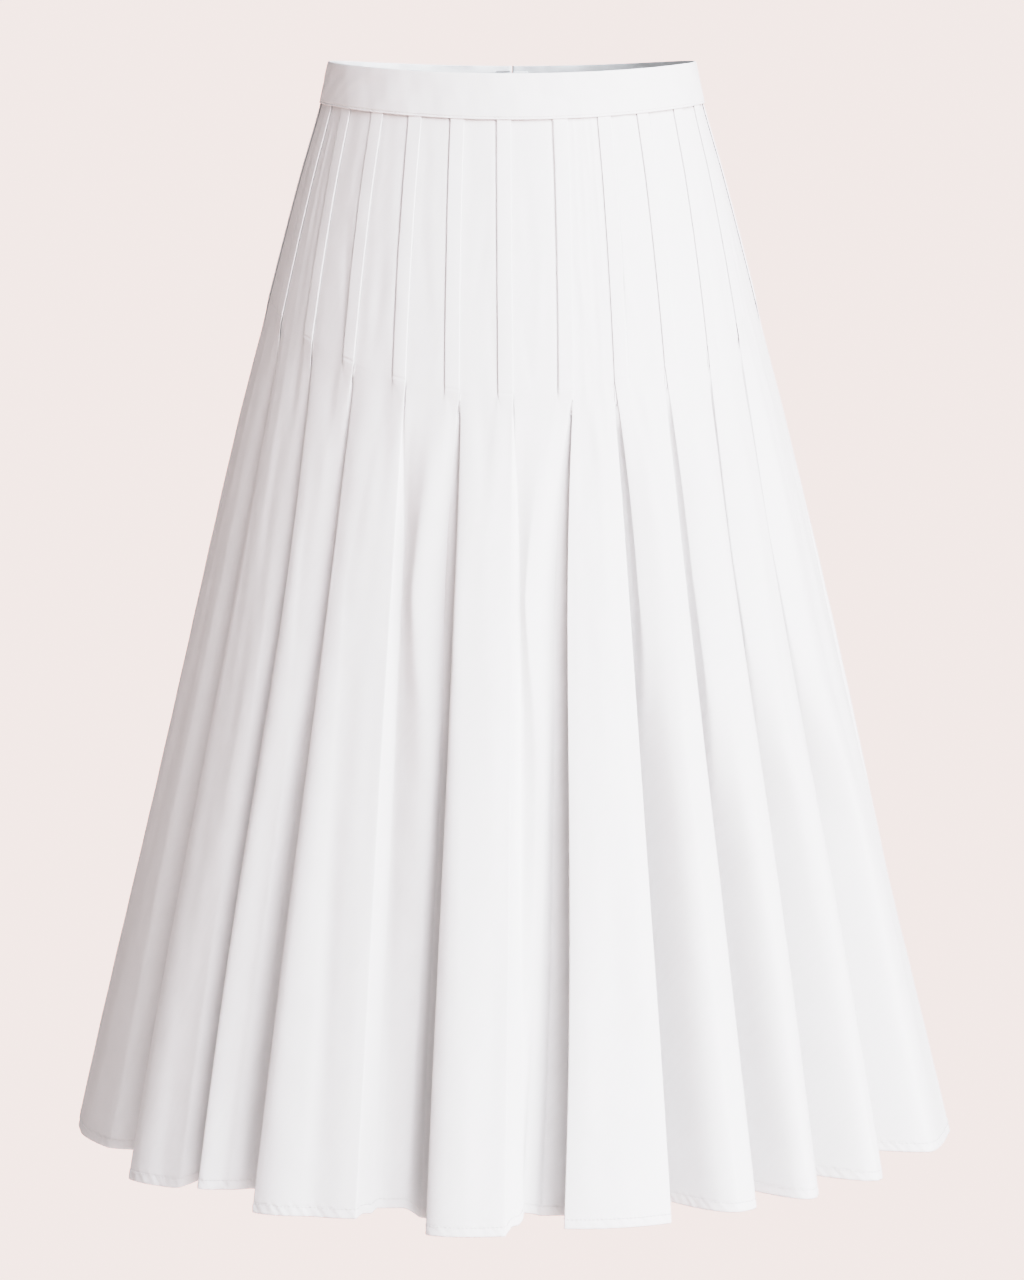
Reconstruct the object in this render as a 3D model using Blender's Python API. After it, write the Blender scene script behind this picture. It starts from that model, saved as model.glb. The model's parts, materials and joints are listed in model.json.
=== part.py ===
"""Pleated cotton midi skirt: a shaped waistband, a front panel and two back panels with stitched-down
knife pleats that open into flutes, and a concealed centre-back zip. It is filled out as if worn, hollow,
with the waist and the hem open. Metres, +Z up, centre front towards -Y. The origin is the middle of the
waistband, where the wearer holds the skirt up. Left and right are the wearer's, left towards +X. Angles
are degrees round the skirt from centre front, growing towards +X, as the ellipse's own parameter."""

import math

import bpy
import numpy as np

# Cloth
WALL = 0.0011  # one layer of cloth
LAYER = 0.0014  # from the middle of one layer to the middle of the next one in a tuck
SEAM_GAP = 0.0003  # between two pieces at a seam
HEM_TURN = 0.008  # depth of the turned hem
HEM_WALL = 0.0021  # wall through the turned hem
HEM_LEDGE = 0.0006  # height over which the turned hem ends inside

# Waistband
BAND_WALL = 0.0024
BAND_OUT = 0.0006  # how far its outer face lies out from the sections
BAND_TOP = 0.0160  # height of its top edge at the side
BAND_TOP_DIP = 0.0057  # how much lower the top edge is at centre front and back
BAND_FOLD = 0.0006  # rounding of the fold along its top edge
BAND_SLOT = 0.0024  # between its two ends at centre back, for the zip
BAND_STEPS = 40
BAND_SAG = 0.0005  # how far the flat facets of its inner face may stand in
BAND_CLEAR = 0.0010  # above and below its lower edge, where the tapes step out to the panel

# Heights of the skirt's lines
SEAM_SIDE = -0.0127
SEAM_DIP = 0.0082
RELEASE_SIDE = -0.1480  # where the tucks' stitching ends, at the side
RELEASE_DIP = 0.0540
RELEASE_CURVE = 1.85
HEM = -0.7350
FOLD_POINTS = 6  # points of each pleat's fold in a ring
INNER_FOLD = 2  # the first of the two at its inner fold
SPLITS = (1, 1, 1, 0, 0, 1, 1, 0, 0)  # how the quads between a ring's points are split, so that both
# sides of a fold bend alike

# Tucks in the stitched yoke
TUCK = 0.0118  # how far a tuck's underlay goes back behind its fold
UNDER_START = 0.0015  # the lower panel, just past the fold's edge
UNDER_ROLL = 0.0080  # where the lower panel starts to rise
TURN_IN = 0.12  # where the cloth turns back behind the fold's edge, as a share of the pleat's opening
RISE_OUT = 0.90  # where it comes out again under the next flute, as a share of it
VALLEY_OPEN = 0.40  # how far an open pleat's valley opens at its bottom, as a share of it

# How the flutes grow from the release (0) to the hem (1)
MID = 0.25  # the level the "mid" columns are measured at
DEPTH_GROWTH = 0.75
SHIFT_GROWTH = 0.5
FOLD_WIDEN = 0.0012  # how much wider apart an inner fold's layers are at the hem
CREASE_BACK = 0.0100  # how far the pressed fold lies behind the flutes' faces at the hem
CREASE_FRONT = 0.0060  # the same where the next panel lies deep behind it
ROLL_WIDE = 0.0015  # from a pleat's open edge to the next flute's rolled side at the hem
ROLL_BACK = 0.0110  # how far a flute's rolled side lies behind its face at the hem
FACE_ROUND = 0.0030  # how far a flute's face falls back towards its sides at the hem
VALLEY_RISE = 0.0040  # how much higher the hem is in the valleys
FACE_POINTS = (0.20, 0.42, 0.76)  # where a panel's face has its points, from its lower side
EVEN_FACE_POINTS = (0.25, 0.50, 0.75)  # the same on a panel whose two sides are alike
MITRE_LIMIT = 1.1  # the least squared sum of two unit normals, so that no mitre grows long

# Sections of the skirt's outer face: height, half width, half depth in front, half depth behind
SECTIONS = (
    (0.0160, 0.1255, 0.0950, 0.0950),
    (-0.0127, 0.1322, 0.1008, 0.1008),
    (-0.0657, 0.1476, 0.1165, 0.1185),
    (-0.1486, 0.1692, 0.1426, 0.1450),
    (-0.2317, 0.1893, 0.1683, 0.1690),
    (-0.4000, 0.2286, 0.2196, 0.2150),
    (-0.5700, 0.2683, 0.2714, 0.2600),
    (-0.7450, 0.3094, 0.3241, 0.3070),
)

# Pleats round the skirt. turn is +1 where the fold's edge faces growing angles. The next four columns
# are the angle of the fold's edge at the waist seam, the release, mid and the hem; then how far the
# pleat stands open at mid and the hem, where its inner fold lies at the hem (degrees from the edge),
# and how deep the inner fold is at the hem (millimetres).
PLEATS = (
    # name, turn, seam, release, mid, hem, open_mid, open_hem, inner, depth
    ("side_right", 1, -87.0, -87.0, -88.5, -93.0, 1.5, 2.5, 1.2, 45),
    ("front_1", 1, -69.2, -67.1, -63.9, -59.0, 1.3, 1.8, 0.9, 60),
    ("front_2", 1, -56.2, -51.1, -46.8, -45.0, 1.4, 2.0, 1.0, 62),
    ("front_3", 1, -41.1, -37.0, -36.3, -36.0, 2.2, 2.5, 1.2, 64),
    ("front_4", 1, -27.2, -23.4, -23.0, -20.9, 0.7, 0.6, -1.2, 74),
    ("front_5", 1, -13.9, -11.2, -12.7, -13.0, 2.6, 2.3, 1.1, 76),
    ("front_6", 1, -0.3, 0.2, 0.1, -0.7, 0.7, 0.6, -1.2, 74),
    ("front_7", -1, 12.1, 10.3, 9.9, 6.5, 1.9, 1.0, 0.2, 74),
    ("front_8", -1, 25.6, 22.5, 23.8, 22.9, 2.4, 2.9, 1.4, 62),
    ("front_9", -1, 39.5, 35.4, 35.6, 34.1, 2.7, 2.5, 1.2, 62),
    ("front_10", -1, 56.2, 49.3, 45.9, 44.4, 1.2, 2.0, 1.0, 60),
    ("front_11", -1, 70.8, 63.3, 58.0, 57.6, 1.2, 2.0, 1.0, 58),
    ("side_left", -1, 87.0, 86.8, 88.5, 93.0, 1.6, 2.4, 1.2, 45),
    ("back_1", -1, 104.0, 103.4, 103.6, 107.0, 2.0, 2.6, 1.3, 60),
    ("back_2", -1, 120.5, 120.0, 119.8, 121.2, 1.6, 2.2, 1.0, 58),
    ("back_3", -1, 136.3, 136.0, 135.6, 134.6, 2.2, 2.8, 1.4, 64),
    ("back_4", -1, 151.6, 151.4, 151.0, 150.6, 1.8, 2.3, 1.1, 60),
    ("back_5", -1, 166.5, 166.4, 166.6, 166.4, 2.1, 2.6, 1.3, 62),
    ("back_6", 1, 193.5, 193.6, 193.2, 193.8, 2.0, 2.5, 1.2, 62),
    ("back_7", 1, 208.6, 208.8, 209.4, 209.8, 1.7, 2.3, 1.1, 60),
    ("back_8", 1, 224.0, 224.2, 224.6, 225.4, 2.3, 2.8, 1.4, 64),
    ("back_9", 1, 239.8, 240.2, 240.6, 239.4, 1.7, 2.2, 1.1, 59),
    ("back_10", 1, 256.2, 256.6, 256.4, 253.4, 2.0, 2.6, 1.3, 60),
)

# Panels between the pleats, each starting at the pleat of the same row: how far its face lies out from
# the sections at mid and the hem, how much lower its hem is, how far its middle dips at the hem
PANELS = (
    # name, out_mid, out_hem, drop, dip (millimetres)
    ("flute_a", 1, 4, -10, 0),
    ("flute_b", 0, 0, -2, 0),
    ("flute_c", 0, -4, -7, 0),
    ("flute_d", 0, 0, 1, 0),
    ("recess_right", -12, -60, 2, 0),
    ("flute_e", 0, -1, 5, 0),
    ("recess_centre", -10, -60, -1, 0),
    ("flute_f", 0, -2, 1, 0),
    ("flute_g", 0, -6, -2, 0),
    ("flute_h", 0, -6, -3, 0),
    ("flute_i", 0, -3, -5, 0),
    ("flute_j", 2, 3, -10, 0),
    ("flute_k", 2, 1, -6, 0),
    ("flute_l", 0, -4, -2, 0),
    ("flute_m", 0, 0, 0, 0),
    ("flute_n", 0, -5, 2, 0),
    ("flute_o", 0, 0, 0, 0),
    ("flute_p", 0, 0, 2, 30),
    ("flute_q", 0, -4, 0, 0),
    ("flute_r", 0, 0, 2, 0),
    ("flute_s", 0, -5, -1, 0),
    ("flute_t", 0, 0, -3, 0),
    ("flute_u", 1, 2, -6, 0),
)
SIDE_LEFT = 12  # row of the pleat whose inner fold hides the left side seam; row 0 hides the right one
BACK_PANEL = 17  # row of the panel that the centre-back seam divides

# Levels of the cloth's rings: 0 at the waist seam, 1 at the release, 2 at the hem
RINGS = (0.0, 0.5, 1.0, 1.05, 1.16, 1.33, 1.55, 1.78)

# Zip
ZIP_TAPE = 0.0100  # width of each tape
ZIP_TAPE_WALL = 0.0007
ZIP_TAPE_GAP = 0.0022  # between the two tapes, where the coil runs
ZIP_TOP = 0.0065  # height of the tapes' top ends
ZIP_LEVEL = 0.93  # level where the tapes end, just above the release
SLIDER_WIDE = 0.0050
SLIDER_HIGH = 0.0085
SLIDER_DEEP = 0.0024
SLIDER_Z = 0.0000  # height of its middle
NECK_WIDE = 0.0014
NECK_HIGH = 0.0046
PIN_RADIUS = 0.0005
PIN_LONG = 0.0042
TAB_WALL = 0.0009
TAB_LONG = 0.0180
TAB_TOP_WIDE = 0.0042
TAB_LOW_WIDE = 0.0056
TAB_SLOT = 0.0020  # between the fork's arms, round the neck
TAB_ARM = 0.0040  # length of the arms
TAB_EYE = 0.0013  # radius round each eye
TAB_HOLE = 0.0008  # radius of the eyes the pin runs in
TAB_LEAN = 14.0  # degrees out from straight down, to hang along the cloth
PIN_OUT = 0.0019  # how far the pin stands off the waistband's face
ROUND_STEPS = 16

MATERIALS = {
    "cotton_poplin": ((0.86, 0.86, 0.87, 1.0), 0.0, 0.85),
    "zip_tape": ((0.88, 0.88, 0.88, 1.0), 0.0, 0.80),
    "zip_enamel": ((0.85, 0.85, 0.85, 1.0), 0.2, 0.35),
}


def material(name):
    """The named Principled material, made once."""
    if name in bpy.data.materials:
        return bpy.data.materials[name]
    colour, metallic, roughness = MATERIALS[name]
    made = bpy.data.materials.new(name)
    made.use_nodes = True
    shader = made.node_tree.nodes["Principled BSDF"]
    shader.inputs["Base Color"].default_value = colour
    shader.inputs["Metallic"].default_value = metallic
    shader.inputs["Roughness"].default_value = roughness
    made.diffuse_color = colour
    return made


def mix(a, b, share):
    return a + (b - a) * share


def section(z, column):
    """A column of SECTIONS at height z, as a smooth curve through its rows."""
    rows = SECTIONS[::-1]
    z = min(max(z, rows[0][0]), rows[-1][0])
    i = max(k for k in range(len(rows) - 1) if rows[k][0] <= z or k == 0)
    low, high = rows[i], rows[i + 1]
    step = high[0] - low[0]
    share = (z - low[0]) / step

    def slope(k):
        before, after = rows[max(k - 1, 0)], rows[min(k + 1, len(rows) - 1)]
        return (after[column] - before[column]) / (after[0] - before[0])

    s2, s3 = share * share, share**3
    return (
        (2 * s3 - 3 * s2 + 1) * low[column]
        + (s3 - 2 * s2 + share) * step * slope(i)
        + (3 * s2 - 2 * s3) * high[column]
        + (s3 - s2) * step * slope(i + 1)
    )


def point_at(deg, out, z):
    """The point at this angle and height, moved out from the section by out."""
    t = math.radians(deg)
    depth = section(z, 2) if math.cos(t) > 0 else section(z, 3)
    return np.array(
        ((section(z, 1) + out) * math.sin(t), -(depth + out) * math.cos(t), z)
    )


def degrees_for(length, deg, z):
    """The angle that this length along the section takes up."""
    t = math.radians(deg)
    depth = section(z, 2) if math.cos(t) > 0 else section(z, 3)
    return math.degrees(length / math.hypot(section(z, 1) * math.cos(t), depth * math.sin(t)))


def seam_height(deg):
    return SEAM_SIDE - SEAM_DIP * math.cos(math.radians(deg)) ** 2


def band_top(deg):
    return BAND_TOP - BAND_TOP_DIP * math.cos(math.radians(deg)) ** 2


def release_height(deg):
    return RELEASE_SIDE - RELEASE_DIP * abs(math.cos(math.radians(deg))) ** RELEASE_CURVE


def height_at(deg, level, drop):
    """The height of a level at this angle, where the hem is lower by drop."""
    if level <= 1:
        return mix(seam_height(deg), release_height(deg), level)
    return mix(release_height(deg), HEM - drop, level - 1)


def grown(mid, hem, p):
    """A size that is 0 at the release, mid at MID and hem at the hem."""
    swell = p * (1 - p) ** 3 / (MID * (1 - MID) ** 3)
    return hem * p + (mid - MID * hem) * swell


def edge_angle(row, level):
    """The angle of a pleat's fold edge."""
    seam, release, mid, hem = row[2:6]
    if level <= 1:
        return mix(seam, release, level)
    return release + grown(mid - release, hem - release, level - 1)


def fold_points(i, level):
    """The six points of pleat i as (degrees, out, drop), in the order of growing angles. They're worked
    out as (along, out) in metres from the fold's edge, along being away from the panel on top."""
    row = PLEATS[i]
    turn, open_mid, open_hem, inner, depth = row[1], *row[6:10]
    before, after = PANELS[i - 1], PANELS[i]
    top, under = (before, after) if turn > 0 else (after, before)
    p = max(level - 1, 0.0)
    deep, shift = p**DEPTH_GROWTH, p**SHIFT_GROWTH
    edge = edge_angle(row, level)
    per_metre = degrees_for(1.0, edge, height_at(edge, level, 0.0))
    opened = grown(open_mid, open_hem, p) / per_metre
    behind = inner < 0
    top_out = grown(top[1], top[2], p) / 1000 - deep * (CREASE_FRONT if behind else CREASE_BACK)
    under_out = grown(under[1], under[2], p) / 1000 - deep * (CREASE_FRONT if behind else ROLL_BACK)
    floor = -depth / 1000 * deep
    third, second, first = (-WALL / 2 - k * LAYER for k in (2, 1, 0))
    lift = 1 - deep
    edge_point = np.array((0.0, first + top_out))
    turned = np.array((TURN_IN * opened, second * lift + (top_out + floor) / 2))
    rise_along = mix(UNDER_START, RISE_OUT * opened, shift)
    rise = np.array((rise_along, third * lift + (under_out + floor) / 2))
    roll = (mix(UNDER_ROLL, opened + ROLL_WIDE, shift), third * lift + under_out)
    fold = np.array((mix(-TUCK, inner / per_metre, shift), lift * (second + third) / 2 + floor))
    way = (turned + rise) / 2 - fold
    across = np.array((-way[1], way[0])) / math.hypot(*way)
    apart = LAYER + FOLD_WIDEN * shift + (0.0 if behind else VALLEY_OPEN * opened * shift)
    drop_top, drop_under = top[3] / 1000, under[3] / 1000
    drop_floor = (drop_top + drop_under) / 2 - VALLEY_RISE
    points = [
        (edge_point, drop_top),
        (turned, drop_floor),
        (fold + across * apart / 2, drop_floor),
        (fold - across * apart / 2, drop_floor),
        (rise, drop_floor),
        (roll, drop_under),
    ]
    points = [(edge + turn * at[0] * per_metre, at[1], drop) for at, drop in points]
    return points if turn > 0 else points[::-1]


def face_points(i, start, end, level):
    """The three points of panel i's face between the last point of one pleat and the first of the next."""
    panel = PANELS[i]
    low_top = PLEATS[i][1] < 0
    high_top = PLEATS[(i + 1) % len(PLEATS)][1] > 0
    p = max(level - 1, 0.0)
    deep = p**DEPTH_GROWTH
    out = grown(panel[1], panel[2], p) / 1000
    first = -WALL / 2
    third = first - 2 * LAYER
    shares = FACE_POINTS if high_top != low_top else EVEN_FACE_POINTS
    if low_top and high_top:
        rises = (first, first, first)
    elif high_top:
        rises = ((first + third) / 2, first, first)
    elif low_top:
        shares = tuple(1 - s for s in FACE_POINTS[::-1])
        rises = (first, first, (first + third) / 2)
    else:
        rises = (third, third, third)
    dips = (-FACE_ROUND, -panel[4] / 1000, -FACE_ROUND)
    return [
        (mix(start, end, s), rise * (1 - deep) + first * deep + out + dip * deep, panel[3] / 1000)
        for s, rise, dip in zip(shares, rises, dips)
    ]


def ring(first_pleat, last_pleat, level):
    """Points of a ring from the inner fold of one pleat to the inner fold of another, with their tags."""
    made = []
    for i in range(first_pleat, last_pleat + 1):
        k = i % len(PLEATS)
        turns = 360.0 * (i // len(PLEATS))
        fold = [(deg + turns, out, drop) for deg, out, drop in fold_points(k, level)]
        if made:
            start = made[-1][0]
            made += face_points((i - 1) % len(PLEATS), start, fold[0][0], level)
        made += fold
    return made


def place(point, level):
    deg, out, drop = point
    return point_at(deg, out, height_at(deg, level, drop))


def cloth_levels():
    """(level, wall outside the middle, wall inside it) for each ring, the turned hem's ledge last."""
    long = release_height(45) - HEM
    half = WALL / 2
    rows = [(level, half, half) for level in RINGS]
    rows.append((2 - (HEM_TURN + HEM_LEDGE) / long, half, half))
    rows.append((2 - HEM_TURN / long, half, HEM_WALL - half))
    rows.append((2.0, half, HEM_WALL - half))
    return rows


def side_normals(line):
    """Unit normals in the horizontal plane, to the right of the line's way round, with mitres."""
    steps = np.diff(line[:, :2], axis=0)
    steps /= np.linalg.norm(steps, axis=1)[:, None]
    normals = np.stack((steps[:, 1], -steps[:, 0]), axis=1)
    before = np.vstack((normals[:1], normals))
    after = np.vstack((normals, normals[-1:]))
    total = before + after
    stretch = 2.0 / np.maximum((total**2).sum(axis=1), MITRE_LIMIT)
    return np.hstack((total * stretch[:, None], np.zeros((len(line), 1))))


def closed_shell(name, outer, inner, slot, falls=None):
    """A solid between two grids of points, [level][along], with its four edges closed. falls says for
    each column whether its quads are split from the upper left corner or from the upper right one."""
    rows, columns = outer.shape[:2]
    points = np.vstack((outer.reshape(-1, 3), inner.reshape(-1, 3)))
    behind = rows * columns
    faces = []
    for r in range(rows - 1):
        for c in range(columns - 1):
            a = r * columns + c
            b, d, e = a + 1, a + columns, a + columns + 1
            if falls is None or falls[c]:
                halves = ((a, d, e), (a, e, b))
            else:
                halves = ((a, d, b), (b, d, e))
            faces += halves
            faces += [tuple(corner + behind for corner in half[::-1]) for half in halves]
    for c in range(columns - 1):
        low = (rows - 1) * columns + c
        faces.append((c, c + 1, c + 1 + behind, c + behind))
        faces.append((low + 1, low, low + behind, low + 1 + behind))
    for r in range(rows - 1):
        left = r * columns
        right = left + columns - 1
        faces.append((left + columns, left, left + behind, left + columns + behind))
        faces.append((right, right + columns, right + columns + behind, right + behind))
    return solid(name, points, faces, slot)


def solid(name, points, faces, slot, smooth=True):
    mesh = bpy.data.meshes.new(name)
    mesh.from_pydata([tuple(map(float, p)) for p in points], [], faces)
    mesh.update()
    mesh.materials.append(material(slot))
    if smooth:
        mesh.polygons.foreach_set("use_smooth", [True] * len(mesh.polygons))
    made = bpy.data.objects.new(name, mesh)
    bpy.context.scene.collection.objects.link(made)
    return made


def cut_end(line, normals, fold, face, side):
    """The end of a panel: (point, normal). Cut in the middle of the inner fold that starts at row fold,
    or where fold is None at the face's middle point, and moved half a seam gap back or on by side."""
    if fold is None:
        here, normal = line[face], normals[face]
    else:
        here = (line[fold] + line[fold + 1]) / 2
        normal = side_normals(line[fold : fold + 2])[0]
    way = np.array((-normal[1], normal[0], 0.0)) / np.linalg.norm(normal)
    return here + way * side * SEAM_GAP / 2, normal


def panel(name, first_pleat, last_pleat):
    """A cloth panel, from one pleat to another. It's cut in the pleat's inner fold at a side seam, and
    down the middle of the back panel's face at centre back."""
    outer, inner, falls = [], [], []
    for level, outside, inside in cloth_levels():
        line = np.array([place(p, level) for p in ring(first_pleat, last_pleat, level)])
        period = FOLD_POINTS + len(FACE_POINTS)
        normals = side_normals(line)
        first_fold, last_fold = INNER_FOLD, len(line) - FOLD_POINTS + INNER_FOLD
        first_face, last_face = FOLD_POINTS + 1, len(line) - FOLD_POINTS - 2
        if first_pleat == BACK_PANEL:
            start = cut_end(line, normals, None, first_face, 1)
            keep_from = first_face + 1
        else:
            start = cut_end(line, normals, first_fold, None, 1)
            keep_from = first_fold + 1
        if last_pleat == BACK_PANEL + 1:
            end = cut_end(line, normals, None, last_face, -1)
            keep_to = last_face
        else:
            end = cut_end(line, normals, last_fold, None, -1)
            keep_to = last_fold + 1
        falls = [SPLITS[c % period] for c in range(keep_from - 1, keep_to)]
        line = np.vstack((start[0], line[keep_from:keep_to], end[0]))
        normals = np.vstack((start[1], normals[keep_from:keep_to], end[1]))
        outer.append(line + normals * outside)
        inner.append(line - normals * inside)
    return closed_shell(name, np.array(outer), np.array(inner), "cotton_poplin", falls)


def strip(name, angles, levels, slot):
    """A solid over a run of angles. A level is (height rule, out of its outer face, out of its inner)."""
    outer = [[point_at(deg, out, rule(deg)) for deg in angles] for rule, out, _ in levels]
    inner = [[point_at(deg, back, rule(deg)) for deg in angles] for rule, _, back in levels]
    return closed_shell(name, np.array(outer), np.array(inner), slot)


def waistband():
    """One piece folded along its top edge, with both its ends at centre back."""
    slot = degrees_for(BAND_SLOT / 2, 180.0, 0.0)
    angles = np.linspace(-180.0 + slot, 180.0 - slot, BAND_STEPS + 1)
    out, back = BAND_OUT, BAND_OUT - BAND_WALL
    levels = (
        (band_top, out - BAND_FOLD, back + BAND_FOLD),
        (lambda deg: band_top(deg) - BAND_FOLD, out, back),
        (lambda deg: seam_height(deg) + SEAM_GAP, out, back),
    )
    return strip("waistband", angles, levels, "cotton_poplin")


def zip_tape(name, side):
    """One side of the concealed zip's tape, behind the back panel's face at centre back, side -1 or +1.
    Below the waistband it is made from the panel's own points, moved in."""
    near, far = ZIP_TAPE_GAP / 2, ZIP_TAPE_GAP / 2 + ZIP_TAPE
    lines = []
    for level in RINGS[:3]:
        line = [place(p, level) for p in ring(BACK_PANEL, BACK_PANEL + 1, level)]
        lines.append(np.array((line[FOLD_POINTS + 1], line[FOLD_POINTS + 1 + side])))
    lines[2] = mix(lines[1], lines[2], (ZIP_LEVEL - RINGS[1]) / (RINGS[2] - RINGS[1]))
    behind_panel = WALL / 2 + SEAM_GAP
    behind_band = BAND_WALL - BAND_OUT + BAND_SAG + SEAM_GAP
    in_band = behind_band - WALL / 2
    seam = point_at(180.0, 0.0, seam_height(180.0))
    middle = mix(band_top(180.0), seam_height(180.0), 0.5)
    steps = [point_at(180.0, 0.0, z) - seam for z in (ZIP_TOP, middle, seam[2] + BAND_CLEAR)]
    foot = lines[0] + (point_at(180.0, 0.0, seam[2] - BAND_CLEAR) - seam)
    rows = [(lines[0] + step, in_band) for step in steps]
    rows += [(foot, behind_panel), (lines[1], behind_panel), (lines[2], behind_panel)]
    outer, inner = [], []
    for line, back in rows:
        way = (line[1] - line[0]) / np.linalg.norm(line[1] - line[0])
        inwards = np.array((0.0, -1.0, 0.0))
        spans = [line[0] + way * s for s in (near, mix(near, far, 0.5), far)][::side]
        outer.append([p + inwards * back for p in spans])
        inner.append([p + inwards * (back + ZIP_TAPE_WALL) for p in spans])
    return closed_shell(name, np.array(outer), np.array(inner), "zip_tape")


def block(wide, deep, high, middle):
    """Corners and faces of a box."""
    middle = np.array(middle)
    half = np.array((wide, deep, high)) / 2
    signs = [(x, y, z) for z in (-1, 1) for y in (-1, 1) for x in (-1, 1)]
    points = [middle + half * np.array(s) for s in signs]
    faces = [(0, 2, 3, 1), (4, 5, 7, 6), (0, 1, 5, 4), (2, 6, 7, 3), (0, 4, 6, 2), (1, 3, 7, 5)]
    return points, faces


def rod(radius, start, end, middle, steps=ROUND_STEPS):
    """Points and faces of a round rod along X, from start to end, about middle's Y and Z."""
    points = []
    for x in (start, end):
        for k in range(steps):
            turn = 2 * math.pi * k / steps
            y, z = middle[1] + radius * math.cos(turn), middle[2] + radius * math.sin(turn)
            points.append((x, y, z))
    faces = [tuple(range(steps - 1, -1, -1)), tuple(range(steps, 2 * steps))]
    for k in range(steps):
        n = (k + 1) % steps
        faces.append((k, n, n + steps, k + steps))
    return points, faces


def slab(outline, deep):
    """Points and faces of an outline in X and Z, given anticlockwise seen from -Y, made deep along Y."""
    count = len(outline)
    points = [(x, -deep / 2, z) for x, z in outline] + [(x, deep / 2, z) for x, z in outline]
    faces = [tuple(range(count)), tuple(range(2 * count - 1, count - 1, -1))]
    for k in range(count):
        n = (k + 1) % count
        faces.append((n, k, k + count, n + count))
    return points, faces


def combined(name, first, others, slot):
    """A solid from a first shape and (operation, shape) rows, made with Booleans."""
    made = solid(name, *first, slot, smooth=False)
    helpers = []
    for operation, shape in others:
        helper = solid(name + "_cutter", *shape, slot, smooth=False)
        helpers.append(helper)
        step = made.modifiers.new(operation, "BOOLEAN")
        step.operation = operation
        step.solver = "EXACT"
        step.object = helper
    graph = bpy.context.evaluated_depsgraph_get()
    mesh = bpy.data.meshes.new_from_object(made.evaluated_get(graph))
    made.modifiers.clear()
    made.data = mesh
    mesh.name = name
    for helper in helpers:
        bpy.data.objects.remove(helper)
    return made


def pin_place():
    """Where the slider's pin runs, outside the waistband at centre back."""
    return point_at(180.0, BAND_OUT + PIN_OUT, SLIDER_Z)


def zip_slider():
    """The slider's body behind the tapes, its neck out between the band's ends, and the tab's pin."""
    pin = pin_place()
    tape_back = BAND_OUT - BAND_WALL - BAND_SAG - 2 * SEAM_GAP - ZIP_TAPE_WALL
    back_face = point_at(180.0, tape_back, SLIDER_Z + SLIDER_HIGH / 2)[1]
    body = block(SLIDER_WIDE, SLIDER_DEEP, SLIDER_HIGH, (0, back_face - SLIDER_DEEP / 2, SLIDER_Z))
    neck_in = back_face - SLIDER_DEEP / 2
    neck_out = pin[1] + PIN_RADIUS
    neck_middle = (0, (neck_in + neck_out) / 2, SLIDER_Z)
    neck = block(NECK_WIDE, neck_out - neck_in, NECK_HIGH, neck_middle)
    cross = rod(PIN_RADIUS, -PIN_LONG / 2, PIN_LONG / 2, pin)
    return combined("zip_slider", body, (("UNION", neck), ("UNION", cross)), "zip_enamel")


def zip_pull_tab():
    """The tab, forked round the slider's neck, its eyes on the pin. Its origin is on the pin's axis."""
    pin = pin_place()
    fork, low = TAB_TOP_WIDE / 2, TAB_LOW_WIDE / 2
    slot, arm = TAB_SLOT / 2, -TAB_ARM
    round_z = -TAB_LONG + low
    outline = [(-slot, 0.0), (-fork, 0.0), (-fork, arm), (-low, round_z)]
    for k in range(1, 8):
        turn = math.pi * (1 + k / 8)
        outline.append((low * math.cos(turn), round_z + low * math.sin(turn)))
    outline += [(low, round_z), (fork, arm), (fork, 0.0), (slot, 0.0), (slot, arm), (-slot, arm)]
    middle = (0.0, 0.0, 0.0)
    steps = (
        ("UNION", rod(TAB_EYE, -fork, -slot, middle)),
        ("UNION", rod(TAB_EYE, slot, fork, middle)),
        ("DIFFERENCE", rod(TAB_HOLE, -fork - TAB_WALL, fork + TAB_WALL, middle)),
    )
    made = combined("zip_pull_tab", slab(outline, TAB_WALL), steps, "zip_enamel")
    made.location = pin
    made.rotation_euler = (math.radians(TAB_LEAN), 0.0, 0.0)
    return made


for old in list(bpy.data.objects):
    bpy.data.objects.remove(old)

panel("front_panel", 0, SIDE_LEFT)
panel("back_panel_left", SIDE_LEFT, BACK_PANEL + 1)
panel("back_panel_right", BACK_PANEL, len(PLEATS))
waistband()
zip_tape("zip_tape_left", -1)
zip_tape("zip_tape_right", 1)
zip_slider()
zip_pull_tab()
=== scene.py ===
"""Looks of the pleated cotton skirt: each panel as one dense shell of cloth with its tucks, flutes, soft
creases and turned hem, the waistband, the stitching, the concealed zip, the light and the camera.
Metres, +Z up, centre front towards -Y; left and right are the wearer's, left towards +X. Angles are
degrees round the skirt from centre front, growing towards +X."""

import json
import math

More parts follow.
